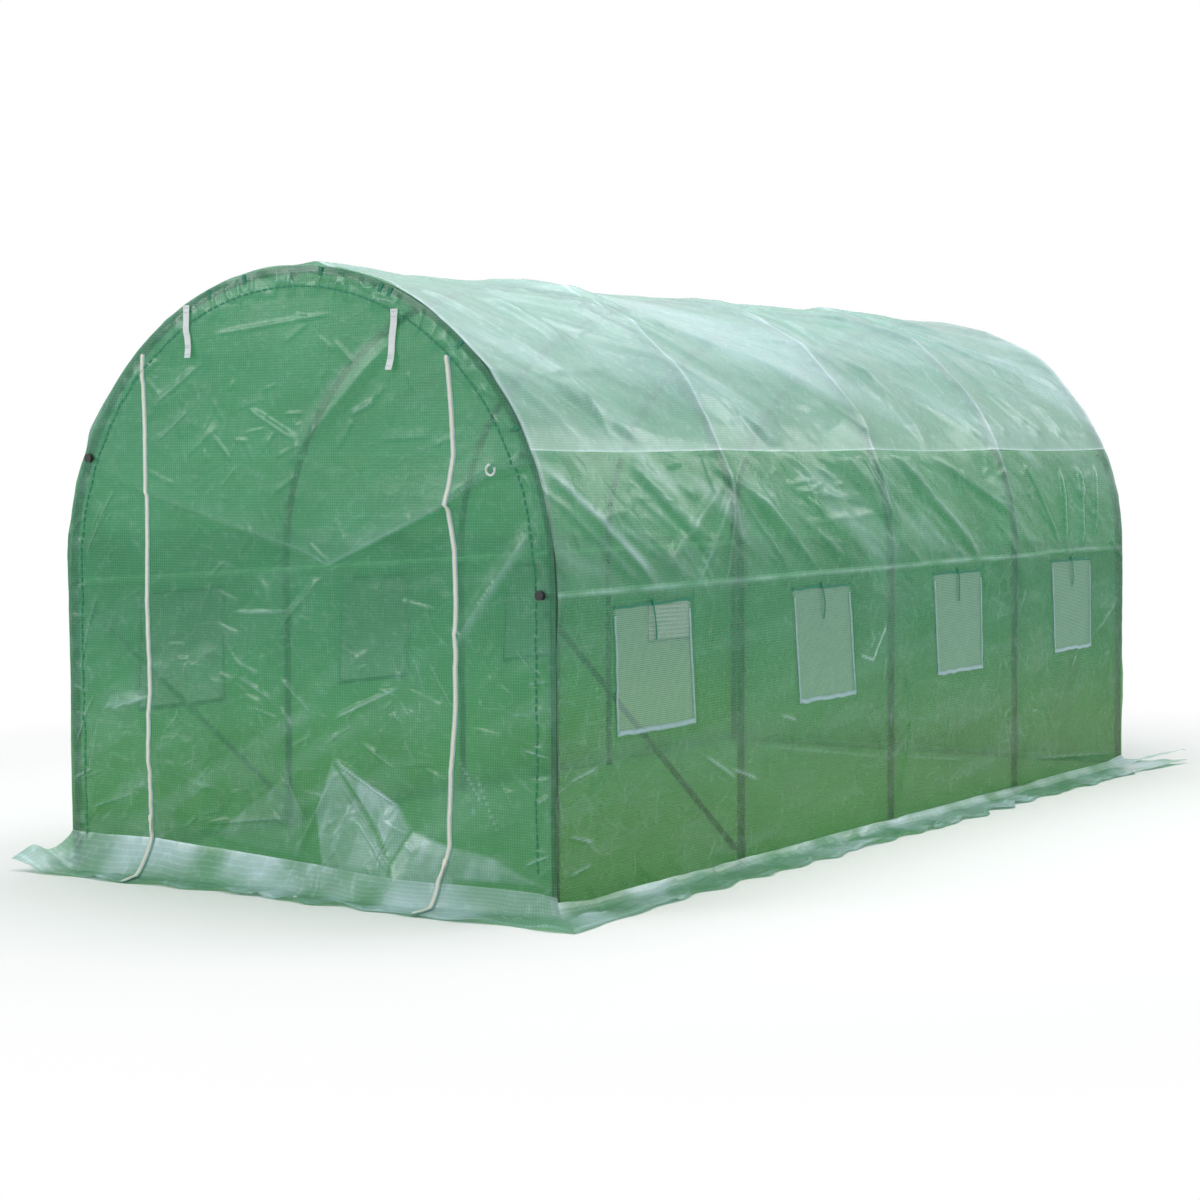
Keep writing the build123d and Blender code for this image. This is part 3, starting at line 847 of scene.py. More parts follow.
# listed folds: start and end across the front and up it, width, rise and paleness
frontFolds = [
    (-0.07, 0.69, 0.07, 0.57, 0.02, 0.007, 0.45),
    (-0.24, 0.68, -0.09, 0.605, 0.016, 0.006, 0.45),
    (0.15, 0.555, 0.43, 0.675, 0.018, 0.008, 0.75),
    (0.13, 0.435, 0.43, 0.29, 0.025, 0.013, 0.70),
    (0.26, 0.495, 0.41, 0.41, 0.02, 0.008, 0.50),
    (-0.06, 0.40, 0.045, 0.21, 0.02, 0.009, 0.35),
    (0.25, 0.245, 0.41, 0.085, 0.022, 0.009, 0.30),
    (-0.42, 0.18, -0.01, 0.236, 0.022, 0.006, 0.35),
    (0.53, 0.76, 0.63, 0.60, 0.018, 0.007, 0.35),
    (0.63, 0.475, 0.74, 0.31, 0.018, 0.008, 0.45),
    (0.70, 0.43, 0.80, 0.22, 0.018, 0.008, 0.45),
    (-0.92, 1.05, -0.78, 1.29, 0.022, 0.008, 0.30),
    (-0.98, 0.41, -0.89, 0.60, 0.02, 0.007, 0.40),
    (-0.95, 0.68, -0.86, 0.95, 0.02, 0.007, 0.30),
    (-0.19, 1.55, 0.02, 1.44, 0.025, 0.008, 0.40),
    (-0.36, 1.785, 0.18, 1.842, 0.018, 0.004, 0.12),
    (-0.03, 1.355, 0.41, 1.76, 0.06, 0.014, 0.03),
    (0.23, 1.52, 0.34, 1.565, 0.02, 0.005, 0.45),
    (-0.61, 1.555, -0.37, 1.705, 0.03, 0.006, 0.25),
    (-0.07, 0.83, 0.12, 1.015, 0.03, 0.010, 0.15),
    (-0.28, 0.886, 0.0, 0.896, 0.014, 0.005, 0.45),
    (0.95, 1.20, 0.61, 0.78, 0.085, 0.016, 0.34),
    (0.16, 0.40, -0.02, 0.085, 0.03, 0.010, 0.20),
    (-0.81, 0.545, -0.65, 0.59, 0.022, 0.006, 0.55),
    (-0.59, 1.44, -0.44, 1.545, 0.016, 0.004, 0.35),
    (-0.50, 0.33, -0.30, 0.30, 0.05, 0.006, 0.20),
    (0.17, 0.36, 0.41, 0.115, 0.016, 0.010, 0.0),
    (0.14, 0.44, 0.42, 0.295, 0.012, 0.006, 0.75),
    (0.88, 0.50, 0.985, 0.48, 0.020, 0.006, 0.75),
    (0.92, 0.33, 0.985, 0.37, 0.018, 0.006, 0.70),
    (0.88, 0.145, 0.985, 0.188, 0.020, 0.006, 0.75),
    (0.90, 0.70, 0.985, 0.715, 0.016, 0.004, 0.55),
    (-0.985, 0.30, -0.90, 0.34, 0.018, 0.006, 0.65),
    (-0.985, 0.62, -0.91, 0.60, 0.016, 0.005, 0.55),
    (-0.92, 0.20, -0.70, 0.27, 0.020, 0.006, 0.45),
]
frontFolds = [  # the narrow ones are drawn sharper
    (a, b, c, d, width if width > 0.04 else 0.65 * width, 0.85 * rise, pale)
    for a, b, c, d, width, rise, pale in frontFolds
]
frontBunches = [
    (0.28, 0.25, 1.0), (0.12, 0.42, 0.5), (-0.35, 0.28, 0.3), (-0.78, 0.52, 0.4), (0.46, 0.5, 2.5),
    (0.74, 0.34, 2.0), (0.82, 0.68, 2.2), (-0.2, 0.63, 2.6), (0.3, 0.66, 0.4), (-0.5, 0.74, 0.2),
    (0.06, 0.14, 0.9), (-0.84, 0.26, 1.0), (0.36, 0.13, 2.3), (-0.1, 0.3, 2.0), (-0.48, 0.48, 0.9),
    (0.5, 0.8, 2.1), (0.84, 0.95, 0.9), (-0.86, 1.1, 1.0),
]
frontFolds += bunches(501, frontBunches, 8, 0.11, *foldLooks["crinkle"])
frontFolds += bunches(541, scatter(540, 7, (-0.75, 0.8), (1.1, 1.7)), 4, 0.12, *foldLooks["frontUpper"])
frontFolds += randomFolds(71, 110, (-0.97, 0.97), (0.15, 0.95), *foldLooks["frontLow"])
frontFolds += randomFolds(72, 60, (-0.9, 0.9), (0.95, 1.85), *foldLooks["frontHigh"])
frontFacets = [
    # flat pale faces crumpled up on the front, most at the foot of the door: corners, paleness, rise
    ([(0.142, 0.431), (0.076, 0.263), (0.105, 0.05), (0.40, 0.05), (0.405, 0.125)], 0.40, 0.010),
    ([(0.142, 0.431), (0.405, 0.125), (0.468, 0.227), (0.41, 0.307)], 0.50, 0.012),
    ([(0.405, 0.125), (0.40, 0.05), (0.63, 0.05), (0.625, 0.19), (0.468, 0.227)], 0.50, 0.006),
    ([(0.60, 0.195), (0.62, 0.085), (0.97, 0.085), (0.755, 0.172)], 0.38, 0.006),
    ([(-0.028, 0.378), (-0.25, 0.233), (-0.368, 0.139), (0.026, 0.097), (0.028, 0.243)], 0.17, 0.008),
    ([(-0.81, 0.60), (-0.84, 0.54), (-0.65, 0.575), (-0.65, 0.625)], 0.25, 0.004),
]


def addFacet(lift, hazeAndSheen, x, z, corners, pale, rise):
    inside = np.full_like(x, 9.0)
    for (startX, startZ), (endX, endZ) in zip(corners, corners[1:] + corners[:1]):
        alongX, alongZ = endX - startX, endZ - startZ
        within = (alongX * (z - startZ) - alongZ * (x - startX)) / math.hypot(alongX, alongZ)
        inside = np.minimum(inside, within)
    lift += rise * np.clip(inside / 0.05, 0, 1)
    hazeAndSheen += pale * np.clip(inside / 0.012, 0, 1) * (0.75 + 0.6 * streaks(342, x, z, 1.2, 0.03, 4.0))


gatherLook = {"in": 0.05, "pitch": 0.055, "rise": 0.006, "pale": 0.16}


def gathers(seed, x, z):
    # distance in from the hoop, the puckers where the end film is drawn over it, and painted glints on those
    # puckers
    edge = np.minimum(1 - np.hypot(x, np.maximum(z - 1, 0)), 1 - np.abs(x))
    pucker = np.clip(1 - np.abs(edge - gatherLook["in"]) / gatherLook["in"], 0, 1)
    turn = np.where(z > 1, 1 + np.arctan2(z - 1, np.abs(x)), z)
    gather = latticeNoise(seed, turn, np.sign(x) + edge * 0.5, gatherLook["pitch"])
    gather = np.clip(1 - 3 * np.abs(gather), 0, 1)
    return edge, gatherLook["rise"] * pucker * gather, gatherLook["pale"] * pucker * gather**3


def endBelly(x, z):
    # an end film bellies out in the middle
    return np.cos(np.clip(x, -1, 1) * math.pi / 2) * np.sin(np.clip(z / 1.9, 0, 1) * math.pi)


def frontSheet(x, z):
    # how far the front film stands out of its flat plane, and its pale creases
    lift, hazeAndSheen = np.zeros_like(x), np.zeros_like(x)
    addFolds(lift, hazeAndSheen, x, z, frontFolds, 0.004)
    for corners, pale, rise in frontFacets:
        addFacet(lift, hazeAndSheen, x, z, corners, pale, rise)
    over = z - np.interp(x, front["swagX"], front["swagZ"])
    rise = np.interp(x, front["swagX"], front["swagRise"])
    above, below = np.maximum(over, 0), np.minimum(over, 0)
    lift += rise * np.where(over > 0, np.exp(-above / front["swagFall"]), np.exp(below / 0.004))
    # a painted highlight along the swag's edge, and above it a painted sheen where the film bulges up
    hazeAndSheen += front["swagHighlight"] * np.exp(-((over - 0.004) / 0.006) ** 2) * np.clip(rise / 0.02, 0.25, 1)
    hazeAndSheen += 0.10 * np.clip(rise / 0.02, 0, 1) * np.where(over > 0, np.exp(-above / 0.10), 0)
    lift += front["belly"] * endBelly(x, z)
    crumpled = crumple(340, x, z, crumpleSizes["front"])
    calm = 1.15 - 0.75 * np.clip((z - 0.75) / 0.4, 0, 1)  # the lower half is the more creased
    lift += crumpled[0] * calm
    hazeAndSheen += crumpled[1] * calm
    lift += 0.002 + ripple(73, x, z, 8, front["ripple"])
    # painted sheen stripes, most on the lower front
    hazeAndSheen += front["streaks"] * streaks(346, x, z, 0.5, 0.06, 4.0) * np.clip((1.0 - z) / 0.4, 0.3, 1)
    low = np.clip((front["flareHigh"] - z) / 0.26, 0, 1) ** 1.6
    lift += front["flareOut"] * low * np.exp(-(((x - front["flareX"]) / front["flareWide"]) ** 2))
    edge, puckers, puckerGlints = gathers(350, x, z)
    lift = (lift + puckers) * np.clip(edge / 0.02, 0.0, 1)  # tight on the hoop itself
    return lift, hazeAndSheen + puckerGlints


def archHeight(x):
    return tunnel["springing"] + np.sqrt(np.clip((filmRadius - 0.0008) ** 2 - x**2, 0, None))


def endGrid(xs, rows, footLine=None, shiftX=None):
    # columns run from the foot line up to the arch
    u, v = np.meshgrid(xs, np.linspace(0, 1, rows), indexing="ij")
    low = np.interp(u, *footLine) if footLine else skirtTop(u, filmRadius, kick["wall"])
    z = low + v * (archHeight(u) - low)
    x = u + shiftX(u, z) if shiftX else u
    return x, z


def zipShift(u, z):
    right = np.interp(z, front["zipZ"], front["rightZip"]) - front["zipX"]
    left = np.interp(z, front["zipZ"], front["leftZip"]) + front["zipX"]
    inner = np.abs(u) / front["zipX"]
    outer = np.clip((0.98 - np.abs(u)) / 0.35, 0, 1)
    share = np.where(np.abs(u) < front["zipX"], inner, outer)
    calm = np.clip((archHeight(u) - z) / 0.08, 0, 1)
    return np.where(u > 0, right, left) * share * calm


footLine = (front["footX"], front["footZ"])
bend = math.asin(front["zipX"] / filmRadius)
leftTurns = np.linspace(math.pi / 2, bend, 60)
rightTurns = np.linspace(bend, math.pi / 2, 64)
frontPanels = {
    # columns, rows, node and flat size
    "frontDoor": (np.linspace(-front["zipX"], front["zipX"], 244), 376, "front_door_panel", (1.26, 1.9)),
    "frontLeft": (-filmRadius * np.sin(leftTurns), 300, "front_left_panel", (0.37, 1.7)),
    "frontRight": (filmRadius * np.sin(rightTurns), 320, "front_right_panel", (0.37, 1.7)),
}
for name, (xs, rows, node, flatSize) in frontPanels.items():
    x, z = endGrid(xs, rows, footLine, zipShift)
    lift, hazeAndSheen = frontSheet(x, z)
    points = np.stack([x, -filmEnd - lift, z], axis=-1)
    panel = addGrid(name, points, np.stack([x, z], axis=-1), hazeAndSheen, endFilm)
    addPiece(panel, "green_film", node)

rearLook = {"belly": 0.012, "ripple": 0.0025, "streaks": 0.14, "fineStreaks": 0.05}
rearFolds = [
    # drawn down from the hoop and across the foot
    (-0.72, 1.62, -0.10, 0.62, 0.10, 0.016, 0.20),
    (-0.45, 1.84, -0.02, 1.05, 0.07, 0.012, 0.22),
    (0.66, 1.68, 0.22, 0.82, 0.10, 0.016, 0.22),
    (0.86, 1.40, 0.40, 0.55, 0.06, 0.010, 0.25),
    (-0.92, 1.25, -0.52, 0.50, 0.06, 0.010, 0.25),
    (-0.80, 0.16, 0.05, 0.34, 0.06, 0.010, 0.25),
    (0.88, 0.12, 0.15, 0.30, 0.07, 0.010, 0.22),
    (0.10, 0.62, 0.34, 0.25, 0.03, 0.008, 0.40),
    (-0.25, 0.58, -0.40, 0.22, 0.03, 0.008, 0.35),
]


def rearSheet(x, z):
    # how far the rear film stands out of its flat plane, and its pale creases
    lift, hazeAndSheen = np.zeros_like(x), np.zeros_like(x)
    places = scatter(560, 22, (-0.85, 0.85), (0.15, 1.6))
    addFolds(lift, hazeAndSheen, x, z, bunches(561, places, 9, 0.12, *foldLooks["crinkle"]))
    addFolds(lift, hazeAndSheen, x, z, randomFolds(81, 160, (-0.95, 0.95), (0.1, 1.85), *foldLooks["rear"]))
    crumpled = crumple(360, x, z, crumpleSizes["rear"])
    lift, hazeAndSheen = lift + crumpled[0], hazeAndSheen + crumpled[1]
    addFolds(lift, hazeAndSheen, x, z, rearFolds, 0.012)
    lift += 0.002 + ripple(82, x, z, 8, rearLook["ripple"]) + rearLook["belly"] * endBelly(x, z)
    # painted sheen stripes
    hazeAndSheen += rearLook["streaks"] * streaks(366, x, z, 1.0, 0.08, 4.0)
    hazeAndSheen += rearLook["fineStreaks"] * streaks(368, x, z, -0.9, 0.03, 5.0)
    edge, puckers, puckerGlints = gathers(370, x, z)
    return (lift + puckers) * np.clip(edge / 0.03, 0, 1), hazeAndSheen + puckerGlints


x, z = endGrid(filmRadius * np.sin(np.linspace(-math.pi / 2, math.pi / 2, 150)), 136)
lift, hazeAndSheen = rearSheet(x, z)
points = np.stack([x, filmEnd + lift, z], axis=-1)
rear = addGrid("rearPanel", points, np.stack([x, z], axis=-1), hazeAndSheen, endFilm)
addPiece(rear, "green_film", "rear_panel")
print("end walls hung")

skirts = {
    # widths are measured at the stops along the wall, cut is the strip's own width; a curl lifts a corner:
    # its place along and out, how far it spreads, its rise and how far it pushes out
    "front": {
        "half": filmRadius, "wall": filmEnd, "lengthwise": True, "sign": -1,
        "stops": [-1.0, -0.75, -0.5, -0.2, 0.1, 0.4, 0.7, 1.0],
        "widths": [0.21, 0.20, 0.205, 0.175, 0.20, 0.205, 0.22, 0.20],
        "seed": 91, "pale": 0.50, "slope": 0.30, "cut": 0.24, "curl": (-1.08, 0.12, 0.17, 0.085, 0.0),
    },
    "rear": {
        "half": filmRadius, "wall": filmEnd, "lengthwise": True, "sign": 1,
        "stops": [-1.0, -0.5, 0.0, 0.5, 1.0],
        "widths": [0.19, 0.17, 0.19, 0.18, 0.21],
        "seed": 92, "pale": 0.54, "slope": 0.2, "cut": 0.22, "curl": (1.20, 0.19, 0.22, 0.055, 0.05),
    },
    "right": {
        "half": filmEnd, "wall": filmRadius, "lengthwise": False, "sign": 1,
        "stops": [-2.25, -1.9, -1.4, -0.9, -0.4, 0.1, 0.6, 1.1, 1.6, 2.0, 2.25],
        "widths": [0.20, 0.16, 0.15, 0.165, 0.15, 0.17, 0.155, 0.15, 0.165, 0.17, 0.21],
        "seed": 93, "pale": 0.50, "slope": 0.16, "cut": 0.20, "curl": (2.45, 0.19, 0.22, 0.015, 0.03),
    },
    "left": {
        "half": filmEnd, "wall": filmRadius, "lengthwise": False, "sign": -1,
        "stops": [-2.25, -1.9, -1.5, -0.7, 0.0, 0.8, 1.5, 2.25],
        "widths": [0.10, 0.13, 0.16, 0.17, 0.15, 0.17, 0.16, 0.19],
        "seed": 94, "pale": 0.52, "slope": 0.16, "cut": 0.20,
    },
}
skirtLook = {
    # slant of the kick, waver of the free edge, rucks, height off the ground; paleness; grid
    "slant": 0.85, "waver": 0.008, "ruck": 0.012, "off": 0.003,
    "cloud": 0.32, "hem": 0.25, "hemAt": 0.88, "hemWide": 0.03,
    "step": 0.010, "rows": 27,
}


def skirtPoints(name, place, out):
    # place runs along the foot of the wall, out from the wall (0) to the free edge (1)
    look = skirts[name]
    half, slope = look["half"], look["slope"]
    if name == "front":
        top = np.interp(place, *footLine)
        root = frontSheet(place, top)[0]
    else:
        top = skirtTop(place, half, kick["wall"])
        root = np.full_like(place, 0.0016)
    dice = np.random.default_rng(look["seed"])
    wave = np.zeros_like(place)
    for _ in range(6):
        wave += dice.uniform(0.3, 1) * np.sin(place * dice.uniform(9, 40) + dice.uniform(0, 6.28))
    width = np.interp(place, look["stops"], look["widths"])
    width = width + skirtLook["waver"] * wave * np.clip((half - np.abs(place)) / 0.1, 0, 1)
    fall = np.clip(out / slope, 0, 1)
    laid = np.clip((out - slope) / (1 - slope), 0, 1)
    slant = top * skirtLook["slant"]
    reach = root + slant * fall**1.2 + laid * (width - root - slant)
    flatten = np.clip((out - slope) / 0.15, 0, 1)
    bumps = (0.5 + 0.5 * np.sin(place * 31 + 2.2 * np.sin(place * 7) + out * 3)) ** 2
    bumps = bumps * (0.4 + 0.6 * np.sin(place * 13 + 1.1) ** 2)
    z = skirtLook["off"] + (top - skirtLook["off"]) * (1 - fall) ** 1.25
    z = z + flatten * skirtLook["ruck"] * bumps
    end = np.clip((np.abs(place) - (half - 0.25)) / 0.25, 0, 1)
    if name == "front":
        end = np.where(place < 0, 0.4 * end, end)
    sideways = place + np.sign(place) * end * reach
    if "curl" in look:
        curlAlong, curlOut, curlSpread, curlRise, curlPush = look["curl"]
        tip = np.clip(1 - np.hypot(sideways - curlAlong, reach - curlOut) / curlSpread, 0, 1)
        z = z + curlRise * tip**1.3
        reach = reach + curlPush * tip
    creases, hazeAndSheen = np.zeros_like(place), np.zeros_like(place)
    folds = randomFolds(look["seed"] + 10, int(60 * half), (-half, half), (0.0, 0.2), *foldLooks["skirt"])
    addFolds(creases, hazeAndSheen, place, reach, folds)
    crumpled = crumple(look["seed"] + 400, place, reach, crumpleSizes["skirt"])
    z = z + (creases + crumpled[0]) * np.clip(out / 0.12, 0, 1)
    # the base paleness is a painted sheen of film lying face up; the cloud varies it at random
    hazeAndSheen += crumpled[1] + look["pale"] + skirtLook["cloud"] * latticeNoise(look["seed"], place, reach, 0.12)
    hazeAndSheen += skirtLook["hem"] * np.exp(-(((out - skirtLook["hemAt"]) / skirtLook["hemWide"]) ** 2))
    far = look["sign"] * (look["wall"] + reach)
    points = np.stack([sideways, far, z] if look["lengthwise"] else [far, sideways, z], axis=-1)
    return points, np.stack([place, out * width], axis=-1), hazeAndSheen


for name, look in skirts.items():
    steps = int(2 * look["half"] / skirtLook["step"])
    rows = np.linspace(0, 1, skirtLook["rows"])
    base, out = np.meshgrid(np.linspace(-1, 1, steps), rows, indexing="ij")
    skirt = addGrid(name + "Skirt", *skirtPoints(name, base * look["half"], out), endFilm)
    addPiece(skirt, "green_film", name + "_skirt")
print("skirts laid on the ground")

hoopLook = {
    "sides": 18, "arcStep": 3.0, "foot": 0.03,
    "joint": 60.0, "jointLength": 0.07, "jointProud": 0.0006,
}
tubeRadius = tunnel["tube"] / 2
tubeLine = tunnel["radius"] - tubeRadius


def archPoint(place, turn):
    return (tubeLine * math.cos(turn), place, tunnel["springing"] + tubeLine * math.sin(turn))


def hoopPath(place):
    turns = np.radians(np.arange(0, 180 + 1e-6, hoopLook["arcStep"]))
    rightLeg = [(tubeLine, place, 0.0), (tubeLine, place, 0.5)]
    leftLeg = [(-tubeLine, place, 0.5), (-tubeLine, place, 0.0)]
    return np.array([*rightLeg, *(archPoint(place, turn) for turn in turns), *leftLeg])


def arcPath(place, middle, length, steps=6):
    turns = np.radians(middle) + np.linspace(-0.5, 0.5, steps) * length / tubeLine
    return np.array([archPoint(place, turn) for turn in turns])


boltLook = {
    "head": 0.0065, "tall": 0.005, "smallHead": 0.005, "smallTall": 0.004,
    "washer": 0.0012, "wider": 1.35,
}


def boltParts(place, way, head=boltLook["head"], tall=boltLook["tall"]):
    # a hexagon head with a washer under it
    place, way = np.asarray(place, dtype=float), np.asarray(way, dtype=float)
    way = way / np.linalg.norm(way)
    seat = place + way * boltLook["washer"]
    washer = tubeParts([place, seat], head * boltLook["wider"], 14)
    return [washer, tubeParts([seat, seat + way * tall], head, 6)]


hoopNames = ["front", "second", "third", "fourth", "rear"]
for hoopName, place in zip(hoopNames, hoopPlaces):
    parts = [tubeParts(hoopPath(place), tubeRadius, hoopLook["sides"])]
    for middle in (hoopLook["joint"], 180 - hoopLook["joint"]):
        sleeve = arcPath(place, middle, hoopLook["jointLength"])
        parts.append(tubeParts(sleeve, tubeRadius + hoopLook["jointProud"], hoopLook["sides"]))
        spot = arcPath(place, middle + 1.2, 0.001)[0]
        inward = np.array([-spot[0], 0.0, tunnel["springing"] - spot[2]])
        spot = spot + inward / np.linalg.norm(inward) * tubeRadius
        parts += boltParts(spot, inward, boltLook["smallHead"], boltLook["smallTall"])
    for side in (-1, 1):
        foot = [(side * tubeLine, place, 0.0), (side * tubeLine, place, hoopLook["foot"])]
        parts.append(tubeParts(foot, tubeRadius + 0.0004, hoopLook["sides"]))
    nodes = [hoopName + tail for tail in ("_hoop_legs", "_hoop_side_bends", "_hoop_crown")]
    addPiece(addParts(hoopName + "Hoop", parts, shadedSteel), "steel_tube", *nodes)
print("hoops bent")

purlinLook = {
    "line": 0.9647, "end": 2.2469, "sideDrop": 0.03, "sides": 16,
    "sleeve": 0.07, "sleeveProud": 0.0007,
}
shoulderX = purlinLook["line"] * math.cos(tunnel["shoulder"])
shoulderZ = tunnel["springing"] + purlinLook["line"] * math.sin(tunnel["shoulder"])
sideZ = tunnel["springing"] - purlinLook["sideDrop"]
purlins = {
    "ridge": (0.0, tunnel["springing"] + purlinLook["line"]),
    "left_shoulder": (-shoulderX, shoulderZ),
    "right_shoulder": (shoulderX, shoulderZ),
    "left_side": (-purlinLook["line"], sideZ),
    "right_side": (purlinLook["line"], sideZ),
}
for purlinName, (x, z) in purlins.items():
    radius, end = tunnel["purlin"] / 2, purlinLook["end"]
    parts = [tubeParts([(x, -end, z), (x, 0.0, z), (x, end, z)], radius, purlinLook["sides"])]
    inward = np.array([-x, 0.0, min(0.0, tunnel["springing"] - z)])
    inward = inward / np.linalg.norm(inward)
    for hoopPlace in hoopPlaces:
        low = max(hoopPlace - purlinLook["sleeve"] / 2, -end)
        high = min(hoopPlace + purlinLook["sleeve"] / 2, end)
        sleeve = [(x, low, z), (x, high, z)]
        parts.append(tubeParts(sleeve, radius + purlinLook["sleeveProud"], purlinLook["sides"]))
        parts += boltParts(np.array([x, hoopPlace, z]) + inward * (radius + 0.0005), inward)
    purlin = addParts(purlinName.replace("_s", "S") + "Purlin", parts, litSteel)
    addPiece(purlin, "steel_tube", purlinName + "_purlin")

braceLook = {"top": 0.915, "foot": 0.06, "boltIn": 0.012}
# the right brace is painted dark as shaded, the left one keeps the plain galvanised tone
for side, sideName, finish, nodes in ((1, "right", shadedSteel, ["front_braces"]), (-1, "left", zinc, [])):
    high = np.array([side * purlinLook["line"], hoopPlaces[0], braceLook["top"]])
    low = np.array([side * purlinLook["line"], hoopPlaces[1], braceLook["foot"]])
    way = (low - high) / np.linalg.norm(low - high)
    parts = [tubeParts([high, (high + low) / 2, low], tunnel["purlin"] / 2, purlinLook["sides"])]
    inner = np.array([-side * tunnel["purlin"] / 2, 0.0, 0.0])
    for spot, turn in ((high, 1), (low, -1)):
        parts += boltParts(spot + way * turn * braceLook["boltIn"] + inner, inner)
    addPiece(addParts(sideName + "Brace", parts, finish), "steel_tube", *nodes)
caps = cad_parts["purlin_end_caps"]
caps.data.materials.clear()
caps.data.materials.append(black)
print("purlins and braces bolted on")


def wallPlace(side, along, run, proud):
    # a point on the wall's line, a little proud of the film
    along, run = np.broadcast_arrays(np.asarray(along, dtype=float), np.asarray(run, dtype=float))
    slipA, slipB = windowSlip(side, along, run)
    return coverPoints(side, along + slipA, run + slipB, coverLift(along, run) + 0.0008 + proud)


def wallRibbon(side, path, across, width, thickness):
    # a tape or thread lying on the wall
    count = len(path)
    outward = np.tile([float(side), 0.0, 0.0], (count, 1))
    return ribbonParts(path, np.tile(across, (count, 1)), outward, width, thickness)


lengthways, upwards = (0.0, 1.0, 0.0), (0.0, 0.0, 1.0)
meshLook = {"pitch": 0.0064, "thread": 0.0026, "thickness": 0.0005, "steps": 9, "past": 0.01, "weave": 0.0002}


def netParts(side, place):
    # threads up and along one window, laid over each other
    reach, past = window["width"] / 2, meshLook["past"]
    steps, size = meshLook["steps"], (meshLook["thread"], meshLook["thickness"])
    rise = np.linspace(window["sill"] - past, window["head"] + past, steps)
    level = np.linspace(place - reach - past, place + reach + past, steps)
    countA = round(window["width"] / meshLook["pitch"])
    countB = round(window["height"] / meshLook["pitch"])
    parts = []
    for a in np.linspace(-reach, reach, countA + 1)[1:-1]:
        path = wallPlace(side, np.full(steps, place + a), rise, -meshLook["weave"])
        parts.append(wallRibbon(side, path, lengthways, *size))
    for b in np.linspace(window["sill"], window["head"], countB + 1)[1:-1]:
        path = wallPlace(side, level, np.full(steps, b), meshLook["weave"])
        parts.append(wallRibbon(side, path, upwards, *size))
    return parts


trimLook = {
    "width": 0.011, "foot": 0.016, "head": 0.009, "thickness": 0.0016, "proud": 0.0014, "steps": 40,
    "short": 0.025, "past": 0.012, "wander": 0.0028,
    "stitch": (0.0046, 0.0026, 0.0008), "stitchGap": 0.0075, "stitchRow": 0.36,
}


def wander(along, run):
    # tapes are sewn on a little unevenly
    return trimLook["wander"] * latticeNoise(390, along, run, 0.045)


def windowEdges(place):
    # two sides and the foot: the line along the wall and up it, the way its width lies, and its width
    reach, half, steps = window["width"] / 2, trimLook["width"] / 2, trimLook["steps"]
    rise = np.linspace(window["sill"] - half, window["head"] - trimLook["short"], steps)
    level = np.linspace(place - reach - half, place + reach + half, steps)
    return [
        (np.full(steps, place - reach), rise, lengthways, trimLook["width"]),
        (np.full(steps, place + reach), rise, lengthways, trimLook["width"]),
        (level, np.full(steps, window["sill"] - 0.002), upwards, trimLook["foot"]),
    ]


def edgeTape(side, a, b, across, width):
    off = wander(a, b)
    proud = trimLook["proud"] + 0.0003 * across[2]
    path = wallPlace(side, a + across[1] * off, b + across[2] * off, proud)
    return wallRibbon(side, path, across, width, trimLook["thickness"])


def edgeStitches(side, a, b, across, width):
    # two rows of short stitches along a tape
    total = np.hypot(np.ptp(a), np.ptp(b))
    top = trimLook["proud"] + trimLook["thickness"] + 0.0004
    spots = []
    for share in np.arange(0.004, total - 0.004, trimLook["stitchGap"]) / total:
        spotA, spotB = a[0] + share * (a[-1] - a[0]), b[0] + share * (b[-1] - b[0])
        for row in (-trimLook["stitchRow"], trimLook["stitchRow"]):
            off = wander(spotA, spotB) + row * width
            spots.append(wallPlace(side, spotA + across[1] * off, spotB + across[2] * off, top))
    along = upwards if across == lengthways else lengthways
    count = len(spots)
    outs = [(side, 0.0, 0.0)] * count
    return blockParts(spots, [along] * count, [across] * count, outs, trimLook["stitch"])


def headTape(side, place):
    reach = window["width"] / 2 + trimLook["past"]
    level = np.linspace(place - reach, place + reach, trimLook["steps"])
    head = window["head"] + 0.003 + wander(level, window["head"] + 0.3)
    path = wallPlace(side, level, head, trimLook["proud"])
    return wallRibbon(side, path, upwards, trimLook["head"], trimLook["thickness"])


tieLook = {"width": 0.008, "thickness": 0.0012, "length": 0.125, "steps": 14, "knot": (0.014, 0.018, 0.003)}


def tieParts(side, bay, place):
    # a loose tape that hangs from its knot at the head of the window
    dice = np.random.default_rng(200 + bay)
    down = np.linspace(0, 1, tieLook["steps"])
    sway = 0.006 * np.sin(down * 4.5 + dice.uniform(0, 6)) * down + dice.uniform(-0.012, 0.012) * down
    height = window["head"] + 0.012 - down * tieLook["length"]
    path = wallPlace(side, place + sway, height, 0.004 + 0.005 * np.sin(down * 3.1))
    outward = np.array([side, 0.0, 0.0])
    knot = blockParts([path[0] + outward * 0.001], [upwards], [lengthways], [outward], tieLook["knot"])
    return [wallRibbon(side, path, lengthways, tieLook["width"], tieLook["thickness"]), *knot]


